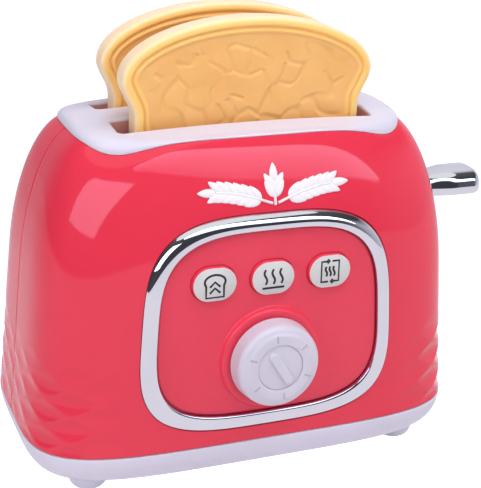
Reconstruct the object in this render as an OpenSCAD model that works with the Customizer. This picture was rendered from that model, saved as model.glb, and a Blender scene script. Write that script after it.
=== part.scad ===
// Toy pop-up toaster: moulded two-part body on a base tray, crowned top plate with two slots,
// chrome bezel round a control panel, pop-up carriage with a chrome lever, and two toy slices.
// Millimetres. X runs along the body towards the lever, the front faces -Y, Z is up.

/* [Body] */
// Length of the body at the seam above the base
body_l = 160; // [150:1:175]
// Depth of the body at the seam above the base
body_d = 92; // [90:1:104]
// Height of the seam between base and body
seam_z = 17.2; // [16.5:0.1:20]
// Level of the body's top rim
rim_z = 118; // [117:0.25:118.5]
// Extra height of the rim at the middle of the long sides
rim_bow = 3; // [1.5:0.25:3.5]
// Extra height of the rim at the middle of the ends
end_bow = 1.6; // [0:0.1:2]
// Dip of the rim at its four corners
rim_dip = 1.1; // [0:0.1:1.5]
// Height at which the front and rear shoulders start to round over
shoulder_z = 65; // [62:1:66]
// Height of the full rounding of the front and rear shoulders
shoulder_h = 56.5; // [56:0.5:60]
// Height at which the end shoulders start to round over
end_from_z = 73; // [70:1:76]
// Inward reach of the end shoulders
end_round = 16; // [14:0.5:18]
// Inward reach of the front and rear shoulders
side_round = 19.5; // [16:0.5:20]
// Lean of the ends, per unit of height
end_draft = 0.09; // [0.06:0.005:0.1]
// Lean of the front and rear, per unit of height
side_draft = 0.03; // [0:0.01:0.04]
// Squareness of the plan at the base
base_p = 4.4; // [3.6:0.1:5]
// Squareness of the plan at the rim
rim_p = 4; // [3.6:0.1:4.6]
// Wall thickness of the two shells
wall = 2.2; // [1.6:0.1:2.4]

/* [Base and feet] */
// Height of the flat underside of the base
base_bottom = 5; // [4:0.5:6]
// Inward reach of the rounded lower edge of the base
base_round = 8; // [6:0.5:9]
// Thickness of the base floor
floor_t = 4; // [3.5:0.25:5]
// Height of the lips that locate the base and the top plate in the shells
lip_h = 3; // [2:0.5:4]
// Thickness of those lips
lip_t = 1.6; // [1.2:0.1:2]
// Distance of a foot's axis in from the end of the body
foot_in_x = 20.6; // [19:0.2:24]
// Distance of a foot's axis in from the front or rear of the body
foot_in_y = 17.6; // [15:0.2:18]
// Radius of a foot
foot_r = 7.2; // [6:0.2:8]
// Radius of the flat pad under a foot
foot_pad_r = 4; // [3:0.25:5]
// Radius of the peg on a foot
foot_peg_r = 2.2; // [1.5:0.1:2.6]
// Depth of the pocket that a foot sits in
foot_pocket = 1.6; // [1:0.2:2]

/* [Top plate and bread slots] */
// Height of the top plate at its centre
top_z = 124.6; // [124.2:0.1:125.4]
// Drop of the top plate from its centre to its ends
crown_x = 1.9; // [1.4:0.1:2.4]
// Drop of the top plate from its centre to its long edges
crown_y = 3.2; // [2.4:0.1:3.4]
// Thickness of the top plate
plate_t = 3.2; // [3:0.1:3.6]
// Length of a bread slot
slot_l = 91; // [90.6:0.2:92]
// Width of a bread slot
slot_w = 12.2; // [11.4:0.1:12.4]
// Distance between the centre lines of the slots
slot_pitch = 26.2; // [25:0.2:27]
// Corner radius of a slot
slot_r = 2; // [1:0.25:3]
// Depth of the slot walls below the top plate
skirt_h = 13; // [9:0.5:16]
// Thickness of the slot walls
skirt_t = 1.4; // [1:0.1:1.4]

/* [Bread] */
// Width of a slice across its straight sides
bread_w = 80.4; // [76:0.2:82]
// Width of a slice across its ears
bread_ear_w = 88.6; // [88:0.1:90]
// Height of a slice
bread_h = 84; // [82:0.5:86]
// Height of a slice above the top plate with the carriage up
bread_show = 32.5; // [31:0.1:34]
// Height of the domed top above the widest point of the ears
bread_dome = 19; // [16:0.5:22]
// Height over which the ears draw in to the sides
bread_neck = 12; // [9:0.5:13]
// Thickness of a slice
bread_t = 9.2; // [8:0.1:9.4]
// Width of the raised crust round a slice
crust_w = 4.6; // [3:0.2:6]
// Depth of the face inside the crust
crust_step = 1; // [0.5:0.1:1.5]

/* [Control panel] */
// Depth of the panel's face behind the body's widest front line
panel_in = 2.2; // [1.6:0.1:2.6]
// Height of the panel centre
panel_z = 60.4; // [59.8:0.1:60.8]
// Backward lean of the panel, in degrees
panel_tilt = 2.4; // [1.5:0.1:3]
// Width of the bezel outline
bezel_w = 90; // [88:0.5:91]
// Height of the bezel outline
bezel_h = 75.8; // [75:0.2:77]
// Squareness of the bezel outline
bezel_p = 3.5; // [3.2:0.1:3.7]
// Narrowing of the bezel towards its top, as a share of its width
bezel_taper = 0.06; // [0.02:0.01:0.07]
// Width of the chrome band
bezel_band = 5.2; // [4.8:0.1:5.6]
// Height of the chrome band's crest above the panel's face
bezel_crest = 1.5; // [1.2:0.1:2]
// Height of the chrome band's outer edge above the panel's face
bezel_side = 0.5; // [0.3:0.1:0.8]
// Depth of the panel pad from its face to its flange
pad_depth = 8; // [7.6:0.1:8.4]
// Thickness of the panel's face
panel_t = 2.4; // [2.2:0.1:2.8]
// Thickness of the panel's flange
flange_t = 2.4; // [2:0.1:2.6]
// Reach of the flange beyond the bezel outline
flange_lap = 3; // [2.5:0.1:3.4]
// Distance between neighbouring buttons
button_pitch = 20.6; // [20:0.1:21]
// Height of the buttons above the panel centre
button_v = 16.2; // [15.2:0.2:16.6]
// Width of a button
button_w = 15.6; // [14.6:0.1:16]
// Height of a button
button_h = 12; // [10.8:0.1:12.2]
// Height of a button's face above the panel's face
button_proud = 1.9; // [1.4:0.1:2.2]
// Travel of a button
button_travel = 1.2; // [0.8:0.1:1.2]

/* [Knob and latch] */
// Height of the knob axis above the panel centre (negative is below)
knob_v = -12.8; // [-13:0.1:-12.2]
// Radius of the knob at its foot
knob_r = 15.2; // [14.8:0.1:15.8]
// Height of the knob's face above the panel's face
knob_face = 10.3; // [9.8:0.1:10.8]
// Radius of the raised boss under the knob
boss_r = 18.2; // [17.6:0.1:18.4]
// Height of the raised boss
boss_h = 2; // [1.5:0.1:2.2]
// Radius of the pointer disc set into the knob
cap_r = 7.9; // [7:0.1:8.4]
// Radius of the knob shaft
shaft_r = 3; // [2.6:0.1:3.2]
// Radius of the release cam at its lowest point
cam_r = 8; // [7.5:0.1:8.4]
// Rise of the release cam over the knob's turn
cam_rise = 5.6; // [5:0.1:6]
// Turn of the knob, in degrees
knob_turn = 240; // [210:5:250]
// Distance of the latch bar behind the panel's face
latch_depth = 15.2; // [15:0.1:15.6]
// Thickness of the square latch bar
latch_t = 3; // [2.6:0.1:3.2]

/* [Carriage and lever] */
// Travel of the carriage
carriage_travel = 36; // [30:1:37]
// Thickness of the bread trays
tray_t = 2.4; // [2:0.1:3]
// Height of the tray lips above the tray floor
tray_lip = 4.2; // [3:0.2:6]
// Thickness of the tray lips
tray_lip_t = 1.4; // [1:0.1:1.6]
// Distance of a guide rod's axis in from a slice's straight side
rod_in = 8.5; // [7.5:0.5:11.5]
// Radius of a guide rod
rod_r = 2; // [1.6:0.1:2.2]
// Height of the lever arm's centre with the carriage up
arm_z = 88.5; // [87:0.25:90]
// Thickness of the square lever arm
arm_t = 6; // [5:0.25:6.5]
// Distance of the lever's tip from the body centre
lever_tip = 102; // [100:0.2:106]
// Width of the lever
lever_w = 18; // [16:0.5:19]
// Height of the lever's hump
lever_h = 10; // [9.8:0.1:11]

/* [Springs] */
// Wire radius of the lift springs
lift_wire_r = 0.6; // [0.5:0.05:0.7]
// Mean coil radius of the lift springs
lift_coil_r = 3.9; // [3.6:0.1:4]
// Number of coils in a lift spring
lift_coils = 9; // [6:1:10]
// Wire radius of the small springs
small_wire_r = 0.4; // [0.3:0.05:0.4]
// Number of coils in a small spring
small_coils = 4; // [3:1:4]

/* [Clearances] */
// Radial running clearance of shafts and rods
run_gap = 0.06; // [0.03:0.01:0.1]
// Clearance between moulded pieces that sit in each other
seat_gap = 0.15; // [0.1:0.05:0.25]
// Clearance of moving pieces beside fixed ones
move_gap = 0.4; // [0.3:0.05:0.5]
// Clearance of the bread in its tray, each side
bread_gap = 0.3; // [0.2:0.05:0.4]

/* [Hidden] */
$fn = 48;
cut = 0.5;              // overrun of a cutting solid past the face it cuts

red = [0.93, 0.27, 0.36];
ivory = [0.86, 0.84, 0.91];
chrome = [0.80, 0.81, 0.83];
crust = [0.96, 0.74, 0.42];
grey = [0.62, 0.63, 0.66];
steel = [0.70, 0.71, 0.73];

// Mesh counts of the lofted shells
shell_rows = 14;
shell_cols = 30;

// Screws: shank radius, head radius, head height and the pilot hole in a post
screw_r = 1.1;
head_r = 2.2;
head_h = 1.4;
post_r = 3.4;
pilot_gap = run_gap / 2;                        // radial air round a screw in its post
head_drop = 0.2;                                // depth of a base screw's head below the underside
base_post_h = 25;                               // height of the posts over the base screws
base_pilot = 15;                                // depth of the screw holes in those posts
base_spare = 5;                                 // air past the tip of a base screw
base_post_in = 14;                              // distance of those posts from the ends
base_post_back = 26;                            // and from the front and rear
side_post_in = 24;                              // lower joining posts: distance from the ends
side_post_up = 17;                              // and height above the seam
top_post_in = 30;                               // upper joining posts: distance from the ends
top_post_down = 18;                             // and depth below the rim
rib_t = 2;                                      // ribs that tie those posts to the end walls
rib_h = 12;
join_seat = 8.6;                                // depth of the screw-head seat behind the parting plane
join_grip = 7;                                  // reach of a joining screw into the front post
join_spare = 2;                                 // air past its tip
panel_grip = 2.6;                               // reach of a flange screw into its post
panel_spare = 0.4;

// Places worked out from the sizes above
floor_z = base_bottom + floor_t;
lip_in = wall + seat_gap;                       // inset of a lip's outer side
foot_at = [body_l / 2 - foot_in_x, body_d / 2 - foot_in_y];      // x and y of a foot
rod_x = bread_w / 2 - rod_in;
panel_y = panel_in - body_d / 2;                // Y of the panel's face at the panel centre
slot_y = slot_pitch / 2;
skirt_z = rim_z - skirt_h + rim_bow;            // lower edge of the slot walls
tray_seat = 0.1;                                // air under a slice on its tray
tray_w = bread_t + 2 * bread_gap + 2 * tray_lip_t;
bread_bottom = top_z + bread_show - bread_h;
tray_z = bread_bottom - tray_seat;              // top of the tray floor
tray_l = bread_w + 3;
bush_r = rod_r + 2.8;
bush_z0 = tray_z - tray_t - 4;
bush_z1 = tray_z + 9;
rod_boss_r = lift_coil_r + lift_wire_r + 1;
rod_boss_z = floor_z + 5;
rod_foot_z = base_bottom + 2;
rod_top_z = top_z - plate_t - 4;
arm_root_x = slot_l / 2 + 1;
arm_end_x = body_l / 2;
slot_half = arm_t / 2 + move_gap;               // half width of the lever's slot in the shells
lever_root_x = body_l / 2 - 0.8;
peg_t = arm_t - 1.6;
peg_l = 8;
side_post = [body_l / 2 - side_post_in, seam_z + side_post_up];  // lower posts that join the shells
top_post = [body_l / 2 - top_post_in, rim_z - top_post_down];    // upper posts
base_post = [body_l / 2 - base_post_in, body_d / 2 - base_post_back];
bezel_gap = 0.4;                                // gap between bezel and panel pad
bezel_lip = 0.9;                                // width of the band inside its crest
bezel_dip = 0.4;                                // fall of the band from its crest to its inner edge
hat_off = -bezel_band - bezel_gap;              // outline offset of the panel pad
hat_wall = 2;
guide_t = 2;                                    // thickness of the button guide plate
guide_w = -(pad_depth + 4);                     // front face of that plate behind the panel's face
cam_t = latch_t + 0.8;
cam_w = -latch_depth - cam_t / 2;               // rear face of the cam
cam_ratio = cam_rise / (knob_turn * PI / 180);  // latch travel for each radian of the knob
roller_r = 1.5;
roller_u = cam_r + roller_r + move_gap;
collar_u = roller_u + 2;
collar_t = 1.2;
collar_half = 4;
spring_solid = 2 * small_wire_r * (small_coils + 1);  // length of a small spring pressed flat
stand_u = collar_u + collar_t + cam_rise + spring_solid + 0.8; // near face of the latch guide
stand_l = 7;
nose_u = stand_u + stand_l + 1.6;               // tip of the latch at rest
finger_x0 = nose_u + 0.3;
finger_x1 = finger_x0 + 6;
nose_at = panel_point(0, knob_v, -latch_depth);
nose_low = nose_at[1] - latch_t / 2 - 0.1;      // underside of the latch's nose
finger_top = nose_low - move_gap + carriage_travel;
finger_half = latch_t / 2 + 0.7;
finger_y = nose_at[0] - finger_half;            // front face of the finger
neck_r = shaft_r - 0.6;                         // the cam sits on this neck of the shaft
neck_w = cam_w + 0.2;                           // rear end of the shaft, just inside the cam
knob_round = 2.4;                               // radius of the knob's rounded edge
front_y = panel_point(0, knob_v, knob_face)[0] - (knob_r - knob_round) * sin(panel_tilt);
x_mid = (lever_tip - body_l / 2) / 2;
y_mid = (front_y + body_d / 2) / 2;

// Y and Z of a point given in the panel's own frame (u along X, v up, w outwards)
function panel_point(u, v, w) = [
  panel_y + v * sin(panel_tilt) - w * cos(panel_tilt),
  panel_z + v * cos(panel_tilt) + w * sin(panel_tilt)
];

// Point on a superellipse
function oval(a, b, p, t) = [
  a * sign(cos(t)) * pow(abs(cos(t)), 2 / p),
  b * sign(sin(t)) * pow(abs(sin(t)), 2 / p)
];
function mix(a, b, k) = a + (b - a) * k;
function ease(k) = k * k * (3 - 2 * k);

// Body profile: how far the shoulder has turned in at a height
function shoulder(z, from, h) = z > from ? 1 - sqrt(1 - pow((z - from) / h, 2)) : 0;
end_h = rim_z - end_from_z + 1;                 // full height of the end shoulders' rounding
function end_x(z) =
  body_l / 2 - end_draft * (z - seam_z) - end_round * shoulder(z, end_from_z, end_h);
function side_y(z) =
  body_d / 2 - side_draft * (z - seam_z) - side_round * shoulder(z, shoulder_z, shoulder_h);
function rise(z) = (z - seam_z) / (rim_z - seam_z);

// Wave of the body towards its rim: up in the middle of each side, down at the corners.
// a and b are shares of the half length and half depth, p the squareness there.
dip_p = 6.5;                                    // a higher power keeps the dip nearer the corner
function wave(a, b, p) =
  let (up = mix(end_bow, rim_bow, pow(b, p)), corner = a * b * pow(2, 2 / p))
  up - (up + rim_dip) * pow(corner, dip_p);
function body_point(z, t, inset) =
  let (
    p = mix(base_p, rim_p, rise(z)),
    half = [end_x(z) - inset, side_y(z) - inset],
    q = oval(half[0], half[1], p, t)
  )
  [q[0], q[1], z + rise(z) * wave(abs(q[0]) / half[0], abs(q[1]) / half[1], p)];

// Depth of the body's outer face at a place on its front
function skin_y(x, z) =
  let (p = mix(base_p, rim_p, rise(z)))
  side_y(z) * pow(1 - pow(abs(x) / end_x(z), p), 1 / p);

// Reach of the body's outer face at a place on its end
function end_skin_x(y, z) =
  let (p = mix(base_p, rim_p, rise(z)))
  end_x(z) * pow(1 - pow(abs(y) / side_y(z), p), 1 / p);

// Height of the crowned top plate
function crown(x, y) =
  top_z - crown_x * pow(x / end_x(rim_z), 2) - crown_y * pow(y / side_y(rim_z), 2);

// Outline of the bezel, moved out by off, narrower towards the top
function bezel_point(off, t) =
  let (q = oval(bezel_w / 2 + off, bezel_h / 2 + off, bezel_p, t))
  [q[0] * (1 - bezel_taper * q[1] / (bezel_h / 2)), q[1]];
function bezel_outline(off, n = 56) = [for (i = [0 : n - 1]) bezel_point(off, 360 * i / n)];

// Radius of the snail cam at an angle: a steady rise over the knob's turn, then a fall
function cam_at(a) =
  a <= knob_turn ? cam_r + cam_rise * a / knob_turn
  : a <= knob_turn + 15 ? cam_r + cam_rise
  : mix(cam_r + cam_rise, cam_r, min(1, (a - knob_turn - 15) / (330 - knob_turn - 15)));

// Half outline of a slice: height above its foot to half width
function ear_z() = bread_h - bread_dome;
function bread_half(h, inset) =
  let (w = mix(bread_w, bread_ear_w, ease(min(1, max(0, (h - ear_z() + bread_neck) / bread_neck)))) / 2)
  w - inset;
function bread_outline(inset) =
  let (
    a = bread_ear_w / 2 - inset,
    b = bread_dome - inset,
    r = 7,
    dome = [for (t = [0 : 6 : 180]) [a * cos(t), ear_z() + b * sin(t)]],
    left = [for (k = [1 : 8])
      let (h = ear_z() - bread_neck * k / 8) [-bread_half(h, inset), h]],
    foot = [for (t = [180 : 15 : 270])
      [-bread_w / 2 + inset + r + r * cos(t), inset + r + r * sin(t)]],
    half = concat(left, foot)
  )
  concat(dome, half, [for (i = [len(half) - 1 : -1 : 0]) [-half[i][0], half[i][1]]]);

// The part stands on the floor with the origin under the middle of its box
module placed() translate([-x_mid, -y_mid, 0]) children();

// The panel's own frame: X along the body, Y up the panel, Z outwards
module on_panel() translate([0, panel_y, panel_z]) rotate([90 - panel_tilt, 0, 0]) children();

// A four-cornered face as two triangles
function halves(q) = [[q[0], q[1], q[2]], [q[0], q[2], q[3]]];

// Closed solid through rings of points, capped by a point at each end
module loft(rings, first, last) {
  n = len(rings[0]);
  m = len(rings);
  points = concat([for (ring = rings) each ring], [first, last]);
  sides = [for (i = [0 : m - 2]) for (j = [0 : n - 1])
    each halves([i * n + j, (i + 1) * n + j, (i + 1) * n + (j + 1) % n, i * n + (j + 1) % n])];
  foot = [for (j = [0 : n - 1]) [j, (j + 1) % n, m * n]];
  head = [for (j = [0 : n - 1]) [(m - 1) * n + (j + 1) % n, (m - 1) * n + j, m * n + 1]];
  polyhedron(points, concat(sides, foot, head), convexity = 8);
}

// Height of a row of the body wall; the rows stand closer towards the rim
function row_z(i) = mix(rim_z, seam_z, pow(1 - i / shell_rows, 1.5));

// Half of the body wall from the seam to the rim, as one closed solid
module half_wall(start) {
  w = shell_cols + 1;
  n = w * (shell_rows + 1);
  points = [for (inset = [0, wall]) for (i = [0 : shell_rows]) for (j = [0 : shell_cols])
    body_point(row_z(i), start + 180 * j / shell_cols, inset)];
  outer = [for (i = [0 : shell_rows - 1]) for (j = [0 : shell_cols - 1])
    [i * w + j, (i + 1) * w + j, (i + 1) * w + j + 1, i * w + j + 1]];
  inner = [for (f = outer) [n + f[3], n + f[2], n + f[1], n + f[0]]];
  top = shell_rows * w;
  rims = [for (j = [0 : shell_cols - 1]) each [
    [j, j + 1, n + j + 1, n + j],
    [top + j + 1, top + j, n + top + j, n + top + j + 1]]];
  ends = [for (i = [0 : shell_rows - 1]) each [
    [i * w, n + i * w, n + (i + 1) * w, (i + 1) * w],
    [i * w + shell_cols, (i + 1) * w + shell_cols, n + (i + 1) * w + shell_cols, n + i * w + shell_cols]]];
  quads = concat(outer, inner, rims, ends);
  polyhedron(points, [for (q = quads) each halves(q)], convexity = 8);
}

// Opening for the lever arm on the parting line
module lever_slot() {
  low = arm_z - arm_t / 2 - carriage_travel - move_gap;
  high = arm_z + arm_t / 2 + move_gap;
  translate([arm_root_x + arm_t, -slot_half, low]) cube([body_l / 2, 2 * slot_half, high - low]);
}

// Places of the four posts that join the shells, as x and z
function join_posts() = [for (s = [-1, 1]) for (p = [side_post, top_post]) [s * p[0], p[1]]];

// Places of the flange screws in the panel's frame
ear_u = bezel_w / 2 - 2.5;
ear_v = bezel_h / 2 - 3.6;
panel_cut = 20;                                 // reach of the panel's opening in the front wall
function ear_places() = [for (s = [-1, 1]) for (t = [-1, 1]) [s * ear_u, t * ear_v]];

// Post over a base screw with the rib that ties it to the end wall
module base_post_at(sx, sy) {
  rib_z = seam_z + lip_h + 1;
  rib_end = end_skin_x(base_post[1], rib_z + rib_h) - wall / 2;
  difference() {
    union() {
      translate([sx * base_post[0], sy * base_post[1], floor_z]) cylinder(r = post_r, h = base_post_h);
      translate([sx > 0 ? base_post[0] : -rib_end, sy * base_post[1] - rib_t / 2, rib_z])
        cube([rib_end - base_post[0], rib_t, rib_h]);
    }
    translate([sx * base_post[0], sy * base_post[1], floor_z - cut])
      cylinder(r = screw_r, h = base_pilot + cut);
  }
}

module front_shell() placed() color(red) {
  difference() {
    half_wall(180);
    lever_slot();
    on_panel() translate([0, 0, -panel_cut]) linear_extrude(2 * panel_cut) polygon(bezel_outline(seat_gap));
  }
  for (p = join_posts()) difference() {
    from_parting(p, 0, -1) cylinder(r = post_r, h = join_reach(p));
    from_parting(p, cut, -1) cylinder(r = screw_r, h = join_grip + join_spare + cut);
  }
  for (sx = [-1, 1]) base_post_at(sx, -1);
  for (p = ear_places()) panel_post(p);
}

// Frame at a post on the parting plane, Z into the front (-1) or the rear (1) shell
module from_parting(p, back, side)
  translate([p[0], -side * back, p[1]]) rotate([-side * 90, 0, 0]) children();
function join_reach(p) = skin_y(p[0], p[1]) - 0.6 * wall;

// Short post behind the front wall for a flange screw
module panel_post(p) {
  at = panel_point(0, p[1], 0);
  skin_w = (skin_y(p[0], at[1]) + at[0]) / cos(panel_tilt);
  on_panel() translate([p[0], p[1], -pad_depth]) difference() {
    cylinder(r = post_r, h = pad_depth + skin_w - wall / 2);
    translate([0, 0, -cut]) cylinder(r = screw_r, h = panel_grip + panel_spare + cut);
  }
}

// Rear half: its posts let the joining screws in from behind
module rear_shell() placed() color(red) {
  difference() {
    union() {
      half_wall(0);
      for (p = join_posts()) from_parting(p, 0, 1) cylinder(r = post_r, h = join_reach(p));
    }
    lever_slot();
    for (p = join_posts()) {
      from_parting(p, cut, 1) cylinder(r = screw_r + seat_gap, h = join_seat + 2 * cut);
      from_parting(p, -join_seat, 1) cylinder(r = head_r + seat_gap, h = body_d / 2);
    }
  }
  for (sx = [-1, 1]) base_post_at(sx, 1);
}

// Outline of a bread slot, grown by g
module slot_shape(g) {
  l = slot_l + 2 * g;
  w = slot_w + 2 * g;
  r = slot_r + g;
  square([l - 2 * r, w], center = true);
  square([l, w - 2 * r], center = true);
  for (sx = [-1, 1]) for (sy = [-1, 1])
    translate([sx * (l / 2 - r), sy * (w / 2 - r)]) circle(r = r);
}

// Ring of the top plate: inset from the rim, height above the rim or below the crown
function rim_ring(inset, dz, n = 2 * shell_cols) =
  [for (i = [0 : n - 1]) body_point(rim_z, 360 * i / n, inset) + [0, 0, dz]];
function crown_ring(inset, dz, n = 2 * shell_cols) =
  [for (i = [0 : n - 1])
    let (q = body_point(rim_z, 360 * i / n, inset))
    [q[0], q[1], crown(q[0], q[1]) + dz]];

// Rounding from the upright edge, just above the rim, over to the crown
edge_z = 0.45;
edge_in = 3;
function edge_ring(a, n = 2 * shell_cols) =
  [for (i = [0 : n - 1])
    let (
      t = 360 * i / n,
      low = body_point(rim_z, t, 0)[2] + edge_z,
      inner = body_point(rim_z, t, edge_in),
      high = max(low + 0.2, crown(inner[0], inner[1])),
      q = body_point(rim_z, t, edge_in * (1 - cos(a)))
    )
    [q[0], q[1], mix(low, high, sin(a))]];

module top_plate() placed() color(ivory) {
  inner = lip_in + lip_t;
  middle = side_y(rim_z) - 2;
  corner_z = crown(slot_l / 2, slot_y + slot_w / 2) - 0.4;
  difference() {
    union() {
      loft(
        concat(
          [crown_ring(middle, -plate_t), crown_ring(inner, -plate_t), rim_ring(inner, -lip_h)],
          [rim_ring(lip_in, -lip_h), rim_ring(lip_in, seat_gap), rim_ring(0, seat_gap)],
          [rim_ring(0, edge_z)],
          [for (a = [22.5 : 22.5 : 90]) edge_ring(a)],
          [for (k = [0.35, 0.7, 1]) crown_ring(mix(edge_in, middle, k), 0)]
        ),
        [0, 0, top_z - plate_t], [0, 0, top_z]
      );
      for (s = [-1, 1]) translate([0, s * slot_y, skirt_z])
        linear_extrude(corner_z - skirt_z) slot_shape(skirt_t);
      for (s = [-1, 1]) translate([s * rod_x, 0, skirt_z])
        cylinder(r = rod_r + 2.2, h = top_z - 1 - skirt_z);
    }
    for (s = [-1, 1]) translate([0, s * slot_y, skirt_z - cut])
      linear_extrude(top_z - skirt_z + 2 * cut) slot_shape(0);
    for (s = [-1, 1]) translate([s * rod_x, 0, skirt_z - cut])
      cylinder(r = rod_r + run_gap, h = rod_top_z - skirt_z + cut + seat_gap);
  }
}

// Ring of the base: inset from the seam outline at a height
function base_ring(inset, z, n = 2 * shell_cols) =
  [for (i = [0 : n - 1])
    let (q = oval(body_l / 2 - inset, body_d / 2 - inset, base_p, 360 * i / n))
    [q[0], q[1], z]];

module base_tray() placed() color(ivory) {
  top = seam_z - seat_gap;
  inner = lip_in + lip_t;
  lean = max(end_draft, side_draft) * lip_h;
  difference() {
    union() {
      loft(
        concat(
          [for (a = [90 : -18 : 0])
            base_ring(base_round * (1 - cos(a)), top - (top - base_bottom) * sin(a))],
          [base_ring(lip_in, top), base_ring(lip_in + lean, seam_z + lip_h)],
          [base_ring(inner + lean, seam_z + lip_h)],
          [base_ring(inner + 1, top - 2), base_ring(base_round, floor_z)]
        ),
        [0, 0, base_bottom], [0, 0, floor_z]
      );
      for (s = [-1, 1]) translate([s * rod_x, 0, floor_z - 1])
        cylinder(r = rod_boss_r, h = rod_boss_z - floor_z + 1);
    }
    for (s = [-1, 1]) translate([s * rod_x, 0, rod_foot_z])
      cylinder(r = rod_r + run_gap, h = rod_boss_z - rod_foot_z + cut);
    for (sx = [-1, 1]) for (sy = [-1, 1]) {
      translate([sx * foot_at[0], sy * foot_at[1], 0]) {
        cylinder(r = foot_r + seat_gap, h = base_bottom + foot_pocket);
        cylinder(r = foot_peg_r + run_gap, h = floor_z + cut);
      }
      translate([sx * base_post[0], sy * base_post[1], 0]) {
        cylinder(r = head_r + seat_gap, h = base_bottom + head_drop + head_h);
        cylinder(r = screw_r + seat_gap, h = floor_z + cut);
      }
    }
  }
}

// Domed foot with a flat pad and a peg
module foot(sx, sy) placed() color(ivory)
  translate([sx * foot_at[0], sy * foot_at[1], 0]) {
    seat = base_bottom + foot_pocket;
    rotate_extrude() polygon(concat(
      [[0, 0]],
      [for (a = [0 : 15 : 90])
        [foot_pad_r + (foot_r - foot_pad_r) * sin(a), base_bottom * (1 - cos(a))]],
      [[foot_r, seat], [foot_peg_r, seat], [foot_peg_r, floor_z], [0, floor_z]]
    ));
  }

module foot_front_left() foot(-1, -1);
module foot_front_right() foot(1, -1);
module foot_rear_left() foot(-1, 1);
module foot_rear_right() foot(1, 1);

// Rounded chrome band that runs back to the panel's flange
module bezel_ring() placed() color(chrome) on_panel() {
  n = 56;
  reach = bezel_band - bezel_lip;               // from the outer edge in to the crest
  section = concat(
    [[0, -pad_depth]],
    [for (a = [0 : 15 : 90]) [-reach * (1 - cos(a)), bezel_side + (bezel_crest - bezel_side) * sin(a)]],
    [[-bezel_band, bezel_crest - bezel_dip], [-bezel_band, -pad_depth]]
  );
  m = len(section);
  points = [for (i = [0 : n - 1]) for (s = section)
    let (q = bezel_point(s[0], 360 * i / n))
    [q[0], q[1], s[1]]];
  polyhedron(points, [for (i = [0 : n - 1]) for (k = [0 : m - 1])
    each halves([i * m + k, i * m + (k + 1) % m, ((i + 1) % n) * m + (k + 1) % m, ((i + 1) % n) * m + k])],
    convexity = 6);
}

// Oval button outline, grown by g
module button_shape(g) {
  r = button_h / 2 + g;
  square([button_w - button_h, 2 * r], center = true);
  for (s = [-1, 1]) translate([s * (button_w - button_h) / 2, 0]) circle(r = r);
}
module at_buttons() for (k = [-1 : 1]) translate([k * button_pitch, button_v, 0]) children();
module at_guide_posts() for (s = [-1, 1])
  translate([s * guide_post_u, button_v + s * guide_post_v, 0]) children();

// Places of the screws behind the panel: two hold the button guide, two the latch guide
guide_post_u = button_pitch / 2;
guide_post_v = 6.4;
guide_post_r = 2.2;
guide_grip = 5;                                 // reach of the screws into those posts
stand_u_mid = stand_u + stand_l / 2;
stand_half = 11;
stand_screw = stand_half - 2.5;                 // screws of the latch guide, above and below the latch
stand_foot = 2;                                 // thickness of the latch guide's foot
stand_grip = 1.5;                               // reach of those screws into the panel
stand_spare = 0.2;                              // air past their tips
stand_block = 5;                                // half height of the block that the latch runs in
boss_edge = 1;                                  // bevel of the boss under the knob
pad_root = 1;                                   // depth that the boss is let into the panel's face
back_root = 0.4;                                // depth that posts are let into the panel's back
ear_rim = 1;                                    // flange round a screw's post
bush_gap = 0.6;                                 // gap between the bush round the shaft and the cam
bush_wall = 2.4;

module control_panel() placed() color(red) on_panel() {
  back = pad_depth + flange_t;
  bush_w = cam_w + cam_t + bush_gap;            // rear end of the bush round the knob shaft
  difference() {
    union() {
      translate([0, 0, -back]) linear_extrude(flange_t) {
        polygon(bezel_outline(flange_lap));
        for (p = ear_places()) translate(p) circle(r = post_r + ear_rim);
      }
      translate([0, 0, -back]) linear_extrude(back) polygon(bezel_outline(hat_off));
      translate([0, knob_v, -pad_root]) cylinder(r = boss_r, h = pad_root + boss_h - boss_edge);
      translate([0, knob_v, boss_h - boss_edge])
        cylinder(r1 = boss_r, r2 = boss_r - boss_edge, h = boss_edge);
    }
    translate([0, 0, -back - cut]) linear_extrude(back - panel_t + cut)
      polygon(bezel_outline(hat_off - hat_wall));
    translate([0, knob_v, -panel_cut]) cylinder(r = shaft_r + run_gap, h = 2 * panel_cut);
    at_buttons() translate([0, 0, -panel_cut]) linear_extrude(2 * panel_cut) button_shape(move_gap);
    for (p = ear_places()) translate([p[0], p[1], -panel_cut])
      cylinder(r = screw_r + seat_gap, h = panel_cut);
    for (s = [-1, 1]) translate([stand_u_mid, knob_v + s * stand_screw, -panel_t - cut])
      cylinder(r = screw_r, h = stand_grip + stand_spare + cut);
  }
  translate([0, knob_v, bush_w]) tube(shaft_r + bush_wall, shaft_r + run_gap, -bush_w - panel_t + back_root);
  at_guide_posts() translate([0, 0, guide_w])
    tube(guide_post_r, screw_r, -guide_w - panel_t + back_root);
}

module tube(r_out, r_in, h) difference() {
  cylinder(r = r_out, h = h);
  translate([0, 0, -cut]) cylinder(r = r_in, h = h + 2 * cut);
}

// Button cap with a retaining flange and a guided stem
stem_r = 1.6;
button_edge = 0.5;                              // step at the edge of a button's face
button_lip = 1.2;                               // reach and thickness of the retaining flange
button_back = -panel_t - 0.2 - button_lip;      // rear face of that flange
stem_w = guide_w - guide_t - button_travel;     // rear end of the stem
module button_at(k) placed() color(grey) on_panel() translate([k * button_pitch, button_v, 0]) {
  translate([0, 0, button_back]) linear_extrude(button_proud - button_edge - button_back) button_shape(0);
  translate([0, 0, button_proud - button_edge]) linear_extrude(button_edge) button_shape(-button_edge);
  translate([0, 0, button_back]) linear_extrude(button_lip) button_shape(button_lip);
  translate([0, 0, stem_w]) cylinder(r = stem_r, h = button_back - stem_w + cut);
}
module button_left() button_at(-1);
module button_mid() button_at(0);
module button_right() button_at(1);

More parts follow.
